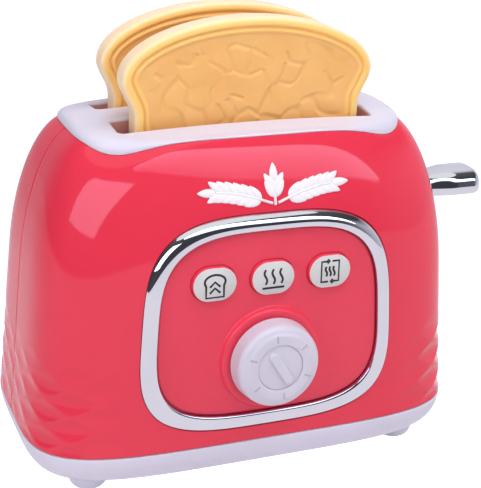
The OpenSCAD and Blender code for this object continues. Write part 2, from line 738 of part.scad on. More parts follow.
// Coil from z0 to z1 round the Z axis, as one unbroken tube
module coil(r, wire, turns, z0, z1, rings = 8, sides = 6) {
  steps = turns * rings;
  low = z0 + wire;
  high = z1 - wire;
  points = [for (i = [0 : steps]) for (k = [0 : sides - 1])
    let (a = 360 * i / rings, b = 360 * k / sides, d = r + wire * cos(b))
    [d * cos(a), d * sin(a), mix(low, high, i / steps) + wire * sin(b)]];
  skin = [for (i = [0 : steps - 1]) for (k = [0 : sides - 1])
    each halves([i * sides + k, i * sides + (k + 1) % sides,
      (i + 1) * sides + (k + 1) % sides, (i + 1) * sides + k])];
  first = [for (k = [sides - 1 : -1 : 0]) k];
  last = [for (k = [0 : sides - 1]) steps * sides + k];
  polyhedron(points, concat(skin, [first, last]), convexity = 12);
}
// Least gap between neighbouring turns of a coil
function coil_gap(wire, turns, z0, z1) = (z1 - z0 - 2 * wire) / turns - 2 * wire;

module button_spring_at(k) placed() color(steel) on_panel() translate([k * button_pitch, button_v, 0])
  coil(stem_r + 0.5 + small_wire_r, small_wire_r, small_coils, guide_w, button_back);
module button_spring_left() button_spring_at(-1);
module button_spring_mid() button_spring_at(0);
module button_spring_right() button_spring_at(1);

// Plate behind the panel that guides the button stems
module button_guide() placed() color(grey) on_panel() {
  margin = 6;
  half = guide_post_v + guide_post_r;
  translate([0, 0, guide_w - guide_t]) linear_extrude(guide_t) difference() {
    translate([0, button_v]) square([2 * button_pitch + 2 * margin, 2 * half], center = true);
    at_buttons() circle(r = stem_r + run_gap);
    at_guide_posts() circle(r = screw_r + seat_gap);
  }
}

// Dial with six engraved marks and a recess for the pointer disc
knob_foot = boss_h + 0.5;
knob_lean = 0.5;                                // draw-in of the knob's side up to its rounded edge
cap_depth = 1.2;
tick_a = 98;
tick_l = 2.6;
tick_t = 0.7;
tick_d = 0.4;                                   // depth of an engraved mark
tick_in = 9.2;                                  // radius at a mark's inner end
pointer_a = -58;
pointer_t = 3.2;
pointer_up = 0.3;                               // height of the pointer bar above the knob's face
socket_d = 5;                                   // depth of the shaft in the knob
module on_knob() placed() on_panel() translate([0, knob_v, 0]) children();
module knob() color(ivory) on_knob() difference() {
  side = knob_r - knob_lean;
  rotate_extrude() polygon(concat(
    [[0, knob_foot], [knob_r, knob_foot], [side, knob_face - knob_round]],
    [for (a = [15 : 15 : 90])
      [side - knob_round * (1 - cos(a)), knob_face - knob_round * (1 - sin(a))]],
    [[0, knob_face]]
  ));
  translate([0, 0, knob_face - cap_depth]) cylinder(r = cap_r + seat_gap, h = cap_depth + cut);
  translate([0, 0, knob_foot - cut]) cylinder(r = shaft_r + pilot_gap, h = socket_d + cut + seat_gap);
  for (k = [0 : 5]) rotate(tick_a - 60 * k) translate([tick_in, -tick_t / 2, knob_face - tick_d])
    cube([tick_l, tick_t, tick_d + cut]);
}

// Disc with the raised pointer bar
module knob_cap() color(ivory) on_knob() {
  bar = cap_r - 1.2 - pointer_t / 2;
  translate([0, 0, knob_face - cap_depth]) cylinder(r = cap_r, h = cap_depth - 0.5);
  rotate(pointer_a) translate([0, 0, knob_face - 1]) linear_extrude(1 + pointer_up) {
    square([2 * bar, pointer_t], center = true);
    for (s = [-1, 1]) translate([s * bar, 0]) circle(r = pointer_t / 2);
  }
}

// Shaft with a narrower neck: the cam sits against its shoulder
module knob_shaft() color(grey) on_knob() difference() {
  shoulder_w = cam_w + cam_t;
  union() {
    translate([0, 0, shoulder_w]) cylinder(r = shaft_r, h = knob_foot + socket_d - shoulder_w);
    translate([0, 0, neck_w]) cylinder(r = neck_r, h = shoulder_w - neck_w + cut);
  }
  translate([0, 0, neck_w - cut]) cylinder(r = screw_r, h = cam_grip + 2 + cut);
}

// Snail cam that pushes the latch out as the dial is turned up
module release_cam() color(grey) on_knob() translate([0, 0, cam_w]) difference() {
  linear_extrude(cam_t) polygon([for (a = [0 : 6 : 354]) cam_at(a) * [cos(a), sin(a)]]);
  translate([0, 0, -cut]) cylinder(r = neck_r + pilot_gap, h = cam_t + 2 * cut);
}

// Screw that clamps the cam on the shaft
cam_grip = 6;
module cam_screw() color(steel) on_knob() translate([0, 0, cam_w - head_h]) {
  cylinder(r = shaft_r + 1.6, h = head_h);
  cylinder(r = screw_r - pilot_gap, h = head_h + cam_grip);
}

// Square bar with a roller pin against the cam and a collar for its spring
module latch_slide() color(grey) on_knob() translate([0, 0, -latch_depth]) {
  translate([roller_u, 0, -cam_t / 2]) cylinder(r = roller_r, h = cam_t);
  translate([roller_u, -latch_t / 2, -latch_t / 2]) cube([nose_u - roller_u, latch_t, latch_t]);
  translate([collar_u, -collar_half, -cam_t / 2]) cube([collar_t, 2 * collar_half, cam_t]);
}

latch_coil_r = latch_t * sqrt(2) / 2 + small_wire_r + move_gap;
module latch_spring() color(steel) on_knob() translate([0, 0, -latch_depth]) rotate([0, 90, 0])
  coil(latch_coil_r, small_wire_r, small_coils, collar_u + collar_t, stand_u);

// Bracket on the back of the panel that the latch bar slides through
module latch_guide() color(grey) on_knob() difference() {
  rear_w = -latch_depth - latch_t / 2 - 2;
  hole = latch_t + 2 * seat_gap;
  union() {
    translate([stand_u, -stand_half, -panel_t - stand_foot]) cube([stand_l, 2 * stand_half, stand_foot]);
    translate([stand_u, -stand_block, rear_w]) cube([stand_l, 2 * stand_block, -panel_t - rear_w]);
  }
  translate([stand_u - cut, -hole / 2, -latch_depth - hole / 2]) cube([stand_l + 2 * cut, hole, hole]);
  for (s = [-1, 1]) translate([stand_u_mid, s * stand_screw, -panel_cut])
    cylinder(r = screw_r + seat_gap, h = panel_cut);
}

// Bread trays, guide bushes, lever arm and latch finger in one moulding
module carriage() placed() color(grey) {
  low = tray_z - tray_t;
  bridge_w = 12;    // width of the bridges between the trays
  arm_foot = 5;     // height of the beam under the lever arm
  finger_foot = 4;  // height of the beam under the latch finger
  difference() {
    union() {
      for (s = [-1, 1]) translate([0, s * slot_y, 0]) difference() {
        translate([-tray_l / 2, -tray_w / 2, low]) cube([tray_l, tray_w, tray_t + tray_lip]);
        translate([-tray_l, -bread_t / 2 - bread_gap, tray_z])
          cube([2 * tray_l, bread_t + 2 * bread_gap, tray_lip + cut]);
      }
      for (s = [-1, 1]) {
        translate([s * rod_x - bridge_w / 2, -slot_y, low]) cube([bridge_w, slot_pitch, tray_t]);
        translate([s * rod_x, 0, bush_z0]) cylinder(r = bush_r, h = bush_z1 - bush_z0);
      }
      translate([rod_x + rod_r + 1, -arm_t / 2, low]) cube([arm_root_x - rod_x, arm_t, arm_foot]);
      translate([arm_root_x - 1, -arm_t / 2, low]) cube([arm_t, arm_t, arm_z + arm_t / 2 - low]);
      translate([arm_root_x, -arm_t / 2, arm_z - arm_t / 2]) cube([arm_end_x - arm_root_x, arm_t, arm_t]);
      translate([arm_end_x - 1, -peg_t / 2, arm_z - peg_t / 2]) cube([peg_l + 1, peg_t, peg_t]);
      translate([finger_x0, finger_y, low]) {
        cube([finger_x1 - finger_x0, tray_lip_t / 2 - tray_w / 2 - slot_y - finger_y, finger_foot]);
        cube([finger_x1 - finger_x0, 2 * finger_half, finger_top - low]);
      }
    }
    for (s = [-1, 1]) translate([s * rod_x, 0, bush_z0 - cut])
      cylinder(r = rod_r + run_gap, h = bush_z1 - bush_z0 + 2 * cut);
  }
}

// Lever: a spoon-shaped handle, flat below and humped above, rounded off at its tip
lever_low = arm_z - 4.6;
lever_steps = [0, 0.12, 0.25, 0.4, 0.6, 0.79, 0.84, 0.89, 0.93, 0.96, 0.985, 1];
lever_p = 2.6;
lever_nose = 0.79;                              // where the rounding of the tip starts
function lever_end(k) = sqrt(max(0, 1 - pow(max(0, (k - lever_nose) / (1 - lever_nose)), 2)));
function lever_grow(k, root) = mix(root, 1, ease(min(1, k / 0.46)));
function lever_half(k) = lever_grow(k, 0.75) * lever_w / 2 * mix(0.06, 1, lever_end(k));
function lever_top(k) = lever_grow(k, 0.9) * lever_h * mix(0.3, 1, lever_end(k));
function lever_foot(k) = mix(0.2 * lever_h, 0, lever_end(k));
function lever_ring(k, n = 20) =
  let (
    h = lever_half(k),
    z0 = lever_low + lever_foot(k),
    z1 = lever_low + lever_top(k),
    x = mix(lever_root_x, lever_tip, k)
  )
  [for (i = [0 : n - 1])
    let (q = oval(h, (z1 - z0) / 2, lever_p, 360 * i / n))
    [x, q[0], (z0 + z1) / 2 + q[1]]];
module lever() placed() color(chrome) difference() {
  peg_hole = peg_t + 2 * seat_gap;
  arm_hole = arm_t + 2 * seat_gap;
  loft([for (k = lever_steps) lever_ring(k)],
    [lever_root_x, 0, arm_z], [lever_tip, 0, lever_low + lever_h / 4]);
  translate([lever_root_x - cut, -peg_hole / 2, arm_z - peg_hole / 2])
    cube([arm_end_x + peg_l - lever_root_x + cut + seat_gap, peg_hole, peg_hole]);
  translate([lever_root_x - cut, -arm_hole / 2, arm_z - arm_hole / 2])
    cube([arm_end_x - lever_root_x + cut, arm_hole, arm_hole]);
}

module guide_rod(s) placed() color(steel) translate([s * rod_x, 0, rod_foot_z])
  cylinder(r = rod_r, h = rod_top_z - rod_foot_z);
module guide_rod_left() guide_rod(-1);
module guide_rod_right() guide_rod(1);

module lift_spring(s) placed() color(steel) translate([s * rod_x, 0, 0])
  coil(lift_coil_r, lift_wire_r, lift_coils, rod_boss_z, bush_z0);
module lift_spring_left() lift_spring(-1);
module lift_spring_right() lift_spring(1);
echo(least_gap_lift_spring = coil_gap(lift_wire_r, lift_coils, rod_boss_z, bush_z0));
echo(least_gap_button_spring = coil_gap(small_wire_r, small_coils, guide_w, button_back));
echo(least_gap_latch_spring = coil_gap(small_wire_r, small_coils, collar_u + collar_t, stand_u));

// Slice with a raised crust round both faces
module bread(s) placed() color(crust) translate([0, s * slot_y, bread_bottom]) rotate([90, 0, 0])
  difference() {
    translate([0, 0, -bread_t / 2]) linear_extrude(bread_t) polygon(bread_outline(0));
    for (side = [-1, 1]) translate([0, 0, side * bread_t / 2 - crust_step])
      linear_extrude(2 * crust_step) polygon(bread_outline(crust_w));
  }
module bread_front() bread(-1);
module bread_rear() bread(1);

// Screw along Z with its head at the bottom
module screw(length) {
  cylinder(r = head_r, h = head_h);
  cylinder(r = screw_r - pilot_gap, h = head_h + length);
}

module base_screws() placed() color(steel)
  for (sx = [-1, 1]) for (sy = [-1, 1])
    translate([sx * base_post[0], sy * base_post[1], base_bottom + head_drop])
      screw(floor_z + base_pilot - base_spare - base_bottom - head_drop - head_h);

module shell_screws() placed() color(steel)
  for (p = join_posts()) from_parting(p, join_seat + head_h, -1) screw(join_seat + join_grip);

module panel_screws() placed() color(steel) on_panel()
  for (p = ear_places()) translate([p[0], p[1], -pad_depth - flange_t - head_h])
    screw(flange_t + panel_grip);

module guide_screws() placed() color(steel) on_panel() {
  at_guide_posts() translate([0, 0, guide_w - guide_t - head_h]) screw(guide_t + guide_grip);
  for (s = [-1, 1]) translate([stand_u_mid, knob_v + s * stand_screw, -panel_t - stand_foot - head_h])
    screw(stand_foot + stand_grip);
}

front_shell();
rear_shell();
top_plate();
base_tray();
foot_front_left();
foot_front_right();
foot_rear_left();
foot_rear_right();
bezel_ring();
control_panel();
button_left();
button_mid();
button_right();
button_spring_left();
button_spring_mid();
button_spring_right();
button_guide();
knob();
knob_cap();
knob_shaft();
release_cam();
cam_screw();
latch_slide();
latch_spring();
latch_guide();
carriage();
lever();
guide_rod_left();
guide_rod_right();
lift_spring_left();
lift_spring_right();
bread_front();
bread_rear();
base_screws();
shell_screws();
panel_screws();
guide_screws();
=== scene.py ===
# Toy pop-up toaster: the pieces that show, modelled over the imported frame
import math
import bpy
import numpy as np
from mathutils import Matrix, Vector


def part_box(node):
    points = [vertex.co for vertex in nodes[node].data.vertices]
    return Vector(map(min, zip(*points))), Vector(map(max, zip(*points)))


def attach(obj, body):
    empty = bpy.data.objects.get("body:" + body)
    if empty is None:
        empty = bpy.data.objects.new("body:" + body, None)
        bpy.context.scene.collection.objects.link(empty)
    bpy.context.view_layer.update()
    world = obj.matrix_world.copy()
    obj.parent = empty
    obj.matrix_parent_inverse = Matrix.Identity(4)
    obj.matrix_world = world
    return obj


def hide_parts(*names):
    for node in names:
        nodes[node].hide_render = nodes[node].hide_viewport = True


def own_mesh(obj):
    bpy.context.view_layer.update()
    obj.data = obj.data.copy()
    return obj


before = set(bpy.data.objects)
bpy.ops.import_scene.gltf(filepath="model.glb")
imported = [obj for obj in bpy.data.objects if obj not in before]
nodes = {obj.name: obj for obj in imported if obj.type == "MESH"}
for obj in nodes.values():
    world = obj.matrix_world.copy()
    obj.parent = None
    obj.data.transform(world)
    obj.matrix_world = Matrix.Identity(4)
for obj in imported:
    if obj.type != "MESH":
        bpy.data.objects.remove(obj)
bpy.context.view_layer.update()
scene = bpy.context.scene
mm = 0.001

trayLow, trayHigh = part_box("base_tray")
middle = Vector(((trayLow.x + trayHigh.x) / 2, (trayLow.y + trayHigh.y) / 2, 0))  # under the body's centre
bodyPlace = Matrix.Translation(middle) @ Matrix.Scale(mm, 4)  # body millimetres to the frame

panelForm = {"y": -43.8, "z": 60.4, "tilt": 2.4}


def shifted(x, y, z):
    return Matrix.Translation((x, y, z))


def rolled(degrees, axis):
    return Matrix.Rotation(math.radians(degrees), 4, axis)


panelToBody = shifted(0, panelForm["y"], panelForm["z"]) @ rolled(90 - panelForm["tilt"], "X")
panelPlace = bodyPlace @ panelToBody
print("frame loaded:", len(nodes), "nodes")


# Small helpers for working on one piece at a time
def clearSelection():
    if bpy.context.mode != "OBJECT":
        bpy.ops.object.mode_set(mode="OBJECT")
    bpy.ops.object.select_all(action="DESELECT")


def takeUp(piece):
    clearSelection()
    piece.select_set(True)
    bpy.context.view_layer.objects.active = piece


def readPoints(piece):
    spots = np.empty(len(piece.data.vertices) * 3)
    piece.data.vertices.foreach_get("co", spots)
    return spots.reshape(-1, 3)


def putPoints(piece, spots):
    piece.data.vertices.foreach_set("co", np.asarray(spots, float).ravel())
    piece.data.update()


def nameIt(name):
    piece = bpy.context.object
    piece.name = name
    piece.data.name = name
    return piece


def addSheet(name, cols, rows):
    # a grid whose points get their places by column and row
    clearSelection()
    bpy.ops.mesh.primitive_grid_add(x_subdivisions=cols, y_subdivisions=rows, size=2)
    piece = nameIt(name)
    spots = readPoints(piece)
    across = np.rint((spots[:, 0] + 1) / 2 * cols).astype(int)
    up = np.rint((spots[:, 1] + 1) / 2 * rows).astype(int)
    return piece, across, up


def editAll(piece):
    takeUp(piece)
    bpy.ops.object.mode_set(mode="EDIT")
    bpy.ops.mesh.select_all(action="SELECT")


def endEdit():
    bpy.ops.object.mode_set(mode="OBJECT")


def weld(piece, gap=0.002, caps=False):
    # closes seams and poles, fills open ends and turns every face outwards
    editAll(piece)
    bpy.ops.mesh.remove_doubles(threshold=gap)
    if caps:
        bpy.ops.mesh.fill_holes(sides=0)
        bpy.ops.mesh.select_all(action="SELECT")
    bpy.ops.mesh.normals_make_consistent(inside=False)
    endEdit()


def turnRound(piece):
    editAll(piece)
    bpy.ops.mesh.flip_normals()
    endEdit()


def faceAway(piece, inside):
    # an open sheet: turned round if it faces the inside point
    spots = np.array([face.center for face in piece.data.polygons])
    ways = np.array([face.normal for face in piece.data.polygons])
    if ((spots - np.array(inside)) * ways).sum() < 0:
        turnRound(piece)


def dropFaces(piece, unwanted):
    # deletes the faces that pass the test
    editAll(piece)
    bpy.ops.mesh.select_all(action="DESELECT")
    bpy.ops.mesh.select_mode(type="FACE")
    endEdit()
    for face in piece.data.polygons:
        face.select = bool(unwanted(face))
    bpy.ops.object.mode_set(mode="EDIT")
    bpy.ops.mesh.delete(type="FACE")
    endEdit()


def useModifier(piece, kind, **values):
    change = piece.modifiers.new(kind.title(), kind)
    for key, value in values.items():
        setattr(change, key, value)
    takeUp(piece)
    bpy.ops.object.modifier_apply(modifier=change.name)


def discard(piece):
    bpy.data.objects.remove(piece, do_unlink=True)


def cutWith(piece, cutter):
    useModifier(piece, "BOOLEAN", operation="DIFFERENCE", object=cutter, solver="EXACT")
    discard(cutter)


def joinUp(first, *others):
    takeUp(first)
    for other in others:
        other.select_set(True)
    bpy.ops.object.join()
    return first


def copyOf(piece, name, place=None):
    twin = piece.copy()
    twin.data = piece.data.copy()
    twin.name = name
    twin.data.name = name
    scene.collection.objects.link(twin)
    if place is not None:
        twin.data.transform(place)
    return twin


def smooth(piece, degrees):
    takeUp(piece)
    bpy.ops.object.shade_smooth_by_angle(angle=math.radians(degrees))


def setFinish(piece, material):
    piece.data.materials.clear()
    piece.data.materials.append(material)


def settle(piece, place, material, body, slotName, *stoodFor):
    # into the frame, with its finish, on its body
    piece.data.transform(place)
    piece.data.update()
    if material is not None:
        setFinish(piece, material)
    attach(piece, body)
    if stoodFor:
        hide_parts(*stoodFor)
    return piece


def turned(name, rings, sides):
    # pulled up ring by ring from a disc: rings are radius and height
    clearSelection()
    radius, height = rings[0]
    start = (0, 0, height)
    bpy.ops.mesh.primitive_circle_add(vertices=sides, radius=radius, fill_type="NGON", location=start)
    piece = nameIt(name)
    bpy.ops.object.transform_apply(location=True, rotation=False, scale=False)
    editAll(piece)
    for wide, tall in rings[1:]:
        bpy.ops.mesh.extrude_region_move(TRANSFORM_OT_translate={"value": (0, 0, tall - height)})
        grow = wide / radius
        bpy.ops.transform.resize(value=(grow, grow, 1), center_override=(0, 0, tall))
        radius, height = wide, tall
    bpy.ops.mesh.select_all(action="SELECT")
    bpy.ops.mesh.normals_make_consistent(inside=False)
    endEdit()
    return piece


def ovalRing(reachX, reachY, power, angles):
    # points of a squarish oval at polar angles
    c, s = np.cos(angles), np.sin(angles)
    radius = (np.abs(c / reachX) ** power + np.abs(s / reachY) ** power) ** (-1 / power)
    return radius * c, radius * s


def rimRun(reachX, reachY, power, start=0.0, turn=2 * math.pi, steps=6000):
    # polar angles round a squarish oval, and the way covered at each
    fan = np.linspace(start, start + turn, steps + 1)
    x, y = ovalRing(reachX, reachY, power, fan)
    return fan, np.concatenate([[0], np.cumsum(np.hypot(np.diff(x), np.diff(y)))])


def evenAngles(count, *oval):
    # polar angles that share the oval's rim out evenly
    fan, along = rimRun(*oval)
    return np.interp(np.linspace(0, along[-1], count + 1), along, fan)


def roundTurn(across, sides):
    # a sheet's columns as angles of a full turn
    return (across % sides) * 2 * math.pi / sides


def easeStep(low, high, value):
    k = np.clip((value - low) / (high - low), 0, 1)
    return k * k * (3 - 2 * k)


def bead(name, runs, radius, fine=2):
    # round wire along runs of points, each open or closed, made a mesh
    data = bpy.data.curves.new(name, "CURVE")
    data.dimensions = "3D"
    data.bevel_depth = radius
    data.bevel_resolution = fine
    data.use_fill_caps = True
    for run, closed in runs:
        line = data.splines.new("POLY")
        line.points.add(len(run) - 1)
        for spot, point in zip(line.points, run):
            spot.co = (*point, 1)
        line.use_cyclic_u = closed
    piece = bpy.data.objects.new(name, data)
    scene.collection.objects.link(piece)
    takeUp(piece)
    bpy.ops.object.convert(target="MESH")
    return bpy.context.object


# Finishes
def paint(*screen):
    # a screen colour, 0 to 255, as the shader takes it
    shares = [c / 255 for c in screen]
    return tuple(c / 12.92 if c <= 0.04045 else ((c + 0.055) / 1.055) ** 2.4 for c in shares) + (1.0,)


def addNodes(tree, *kinds):
    return [tree.nodes.new("ShaderNode" + kind) for kind in kinds]


def setInputs(node, values):
    for key, value in values.items():
        node.inputs[key].default_value = value


def wireUp(tree, *wires):
    # each wire: from a node's output to a node's input
    for start, leaves, end, enters in wires:
        tree.links.new(start.outputs[leaves], end.inputs[enters])


def newFinish(name):
    material = bpy.data.materials.new(name)
    material.use_nodes = True
    return material, material.node_tree, material.node_tree.nodes["Principled BSDF"]


skinSockets = {
    "INPUT": {
        "Place": "Vector", "Colour": "Color", "Cloud": "Color", "Cloud Scale": "Float",
        "Grain Scale": "Float", "Roughness": "Float", "Spread": "Float",
    },
    "OUTPUT": {"Colour": "Color", "Roughness": "Float", "Height": "Float"},
}


def mouldedGroup():
    # cloudy tint, fine grain and faint rubbed streaks of moulded plastic
    group = bpy.data.node_groups.new("mouldedSkin", "ShaderNodeTree")
    for way, sockets in skinSockets.items():
        for name, kind in sockets.items():
            group.interface.new_socket(name=name, in_out=way, socket_type="NodeSocket" + kind)
    given, out = group.nodes.new("NodeGroupInput"), group.nodes.new("NodeGroupOutput")
    cloud, grain, rubs, stretch, mix, band, lowered, rubbed, rough = addNodes(
        group, "TexNoise", "TexNoise", "TexNoise", "Mapping", "Mix", "MapRange", "Math", "Math", "Math"
    )
    mix.data_type = "RGBA"
    lowered.operation, rubbed.operation, rough.operation = "ADD", "MULTIPLY_ADD", "MULTIPLY_ADD"
    setInputs(stretch, {"Scale": (25, 140, 60), "Rotation": (0.3, 0.5, 0.8)})
    setInputs(cloud, {"Detail": 3})
    setInputs(grain, {"Detail": 2})
    setInputs(rubs, {"Scale": 6, "Detail": 4})
    setInputs(band, {"From Min": 0.35, "From Max": 0.7})
    setInputs(rubbed, {1: 0.7})
    setInputs(lowered, {1: -0.85})  # rubs and grain together are then about 0 on average
    wireUp(
        group,
        (given, "Place", cloud, "Vector"),
        (given, "Place", grain, "Vector"),
        (given, "Place", stretch, "Vector"),
        (stretch, "Vector", rubs, "Vector"),
        (given, "Cloud Scale", cloud, "Scale"),
        (given, "Grain Scale", grain, "Scale"),
        (cloud, "Fac", band, "Value"),
        (band, "Result", mix, "Factor"),
        (given, "Colour", mix, "A"),
        (given, "Cloud", mix, "B"),
        (mix, "Result", out, "Colour"),
        (grain, "Fac", lowered, 0),
        (rubs, "Fac", rubbed, 0),
        (lowered, "Value", rubbed, 2),
        (rubbed, "Value", rough, 0),
        (given, "Spread", rough, 1),
        (given, "Roughness", rough, 2),
        (rough, "Value", out, "Roughness"),
        (grain, "Fac", out, "Height"),
    )
    return group


skinGroup = mouldedGroup()
finishForm = {  # colour, cloud colour, roughness, its spread, scales of cloud and grain, bump, its depth
    "redGloss": ((226, 56, 79), (222, 53, 76), 0.07, 0.04, 26, 900, 0.03, 0.03),
    "padRed": ((229, 60, 85), (223, 56, 81), 0.3, 0.08, 40, 1200, 0.12, 0.03),
    "ivorySatin": ((214, 209, 227), (209, 204, 223), 0.32, 0.08, 35, 1500, 0.08, 0.03),
    "dialIvory": ((206, 201, 217), (201, 196, 213), 0.3, 0.08, 60, 1800, 0.08, 0.03),
    "tickGrey": ((180, 176, 192), (172, 169, 185), 0.4, 0.06, 200, 1500, 0.02, 0.02),
    # slot walls: ivory painted over with shade and the red body's bounce light
    "slotPaintedShade": ((214, 156, 150), (206, 147, 142), 0.5, 0.08, 60, 1300, 0.1, 0.03),
    "mirrorChrome": ((219, 222, 227), (214, 217, 223), 0.04, 0.03, 60, 700, 0.02, 0.02),
    "buttonMatt": ((208, 206, 208), (203, 201, 204), 0.45, 0.08, 90, 2200, 0.2, 0.03),
    "iconInk": ((34, 32, 36), (28, 26, 30), 0.5, 0.08, 200, 2000, 0.02, 0.02),
    "innerGrey": ((168, 160, 166), (158, 151, 158), 0.5, 0.1, 40, 1300, 0.15, 0.03),
    "bareSteel": ((176, 178, 182), (164, 166, 171), 0.28, 0.14, 120, 2600, 0.08, 0.02),
    "ornamentWhite": ((238, 233, 240), (231, 226, 235), 0.3, 0.06, 60, 1500, 0.05, 0.02),
    "bakedBread": ((244, 188, 114), (240, 180, 105), 0.42, 0.12, 70, 900, 0.12, 0.05),
}
plainForm = {  # numbers that are the same all over; light spreads a little in the bread's soft vinyl
    "redGloss": {"Specular IOR Level": 0.36},
    "padRed": {"Specular IOR Level": 0.42},
    "mirrorChrome": {"Metallic": 1.0},
    "bareSteel": {"Metallic": 1.0},
    "bakedBread": {
        "Subsurface Weight": 0.3, "Subsurface Radius": (1.0, 0.55, 0.25), "Subsurface Scale": 4 * mm,
    },
}


def moulded(name, colour, cloud, rough, spread, cloudScale, grainScale, bump, reach):
    # a plastic: values for the group, then plain numbers straight on the shader
    material, tree, shader = newFinish(name)
    place, skin, raised = addNodes(tree, "TexCoord", "Group", "Bump")
    skin.node_tree = skinGroup
    setInputs(skin, {
        "Colour": paint(*colour), "Cloud": paint(*cloud), "Cloud Scale": cloudScale,
        "Grain Scale": grainScale, "Roughness": rough, "Spread": spread,
    })
    setInputs(raised, {"Strength": bump, "Distance": reach * mm})
    setInputs(shader, plainForm.get(name, {}))
    wireUp(
        tree,
        (place, "Object", skin, "Place"),
        (skin, "Colour", shader, "Base Color"),
        (skin, "Roughness", shader, "Roughness"),
        (skin, "Height", raised, "Height"),
        (raised, "Normal", shader, "Normal"),
    )
    return material


(
    redGloss, padRed, ivorySatin, dialIvory, tickGrey, slotPaintedShade, mirrorChrome, buttonMatt, iconInk,
    innerGrey, bareSteel, ornamentWhite, bakedBread,
) = (moulded(name, *values) for name, values in finishForm.items())
# the pale edge colour is a painted glancing reflection on the slice's outer rim
crustForm = {"band": (252, 204, 118), "edge": (255, 224, 188), "bandFull": 0.5, "poreScale": 600}


def addCrust(material):
    # over the crumb a deeper golden band, a pale outer edge that is a painted glancing reflection, and fine
    # pores
    c = crustForm
    tree = material.node_tree
    shader, place, skin, raised = (
        tree.nodes[k] for k in ("Principled BSDF", "Texture Coordinate", "Group", "Bump")
    )
    rim, band, edge, toBand, toEdgeReflection, pores, both = addNodes(
        tree, "Attribute", "Mix", "Mix", "MapRange", "MapRange", "TexVoronoi", "Math"
    )
    rim.attribute_name = "crust"
    band.data_type = edge.data_type = "RGBA"
    both.operation = "ADD"
    setInputs(toBand, {"From Max": c["bandFull"]})
    setInputs(toEdgeReflection, {"From Min": c["bandFull"]})
    setInputs(band, {"B": paint(*c["band"])})
    setInputs(edge, {"B": paint(*c["edge"])})
    setInputs(pores, {"Scale": c["poreScale"]})
    wireUp(
        tree,
        (place, "Object", pores, "Vector"),
        (rim, "Fac", toBand, "Value"),
        (rim, "Fac", toEdgeReflection, "Value"),
        (skin, "Colour", band, "A"),
        (toBand, "Result", band, "Factor"),
        (band, "Result", edge, "A"),
        (toEdgeReflection, "Result", edge, "Factor"),
        (edge, "Result", shader, "Base Color"),
        (skin, "Height", both, 0),
        (pores, "Distance", both, 1),
        (both, "Value", raised, "Height"),
    )


addCrust(bakedBread)
print("finishes made")

# Body: two shells, with quilted relief round the lower ends
bodyForm = {
    "length": 160, "depth": 92, "seam": 17.2, "rim": 118, "bow": 3, "endBow": 1.6, "dip": 1.1,
    "dipPower": 6.5, "shoulder": 65, "shoulderHeight": 56.5, "sideRound": 19.5, "endFrom": 73,
    "endHeight": 46, "endRound": 16, "endLean": 0.09, "sideLean": 0.03, "lowSquare": 4.4,
    "rimSquare": 4.0, "wall": 2.2, "groove": 0.3, "hairline": 0.06,
}
quiltForm = {
    "wide": 20.6, "tall": 9.8, "foot": 12.4, "dish": 0.4, "corner": 36, "cornerWide": 15, "cornerMore": 1.2,
    "fadeFrom": 38, "fadeTo": 74, "topFrom": 38, "topTo": 54, "calm": 2.5,
}
shellMesh = {  # spacing round the ends and along the sides, then of the rows below and above the change
    "fine": 0.65, "coarse": 2.0, "ends": 86.0, "sharedAt": 40.0, "seamRow": 0.3, "lowFrom": 0.8,
    "lowRows": 0.6, "change": 56.0, "highRows": 48, "crowding": 1.5, "middle": 60,
}


def shoulderTurn(z, start, height):
    k = np.clip((z - start) / height, 0, 1)
    return 1 - np.sqrt(1 - k * k)


def endReach(z):
    b = bodyForm
    turn = shoulderTurn(z, b["endFrom"], b["endHeight"])
    return b["length"] / 2 - b["endLean"] * (z - b["seam"]) - b["endRound"] * turn


def sideReach(z):
    b = bodyForm
    turn = shoulderTurn(z, b["shoulder"], b["shoulderHeight"])
    return b["depth"] / 2 - b["sideLean"] * (z - b["seam"]) - b["sideRound"] * turn


def climb(z):
    return (z - bodyForm["seam"]) / (bodyForm["rim"] - bodyForm["seam"])


def squareness(z):
    return bodyForm["lowSquare"] + (bodyForm["rimSquare"] - bodyForm["lowSquare"]) * climb(z)


def bowed(x, y, z, inset=0.0):
    # the rim's wave: up in the middle of each side, down at the corners
    b, p = bodyForm, squareness(z)
    shareX, shareY = np.abs(x) / (endReach(z) - inset), np.abs(y) / (sideReach(z) - inset)
    up = b["endBow"] + (b["bow"] - b["endBow"]) * shareY ** p
    corner = shareX * shareY * 2 ** (2 / p)
    return z + climb(z) * (up - (up + b["dip"]) * corner ** b["dipPower"])


def bodySkin(angles, z, inset=0.0):
    x, y = ovalRing(endReach(z) - inset, sideReach(z) - inset, squareness(z), angles)
    return np.stack([x, y, bowed(x, y, z, inset)], -1)


def quilting(fromEnd, z):
    # diamonds scooped out, each one whole, shallower towards the front and the top
    q = quiltForm
    u, v = fromEnd / q["wide"], (z - q["foot"]) / q["tall"]
    a, b = u + v, u - v
    cellA, cellB = np.floor(a), np.floor(b)
    partA, partB = a - cellA, b - cellB
    scoop = 16 * partA * (1 - partA) * partB * (1 - partB)
    midU, midV = (cellA + cellB + 1) / 2 * q["wide"], (cellA - cellB) / 2 * q["tall"] + q["foot"]
    fade = 1 - easeStep(q["fadeFrom"], q["fadeTo"], np.abs(midU))
    fade = fade * (1 - easeStep(q["topFrom"], q["topTo"], midV))
    calm = easeStep(bodyForm["seam"], bodyForm["seam"] + q["calm"], z)
    nearCorner = np.exp(-((np.abs(midU) - q["corner"]) / q["cornerWide"]) ** 2)
    return q["dish"] * (1 + q["cornerMore"] * nearCorner) * fade * calm * scoop


def boxCutter(low, high):
    clearSelection()
    size = [h - l for l, h in zip(low, high)]
    bpy.ops.mesh.primitive_cube_add(size=1, location=[(l + h) / 2 for l, h in zip(low, high)])
    cutter = nameIt("cutter")
    cutter.scale = size
    bpy.ops.object.transform_apply(location=True, rotation=False, scale=True)
    return cutter


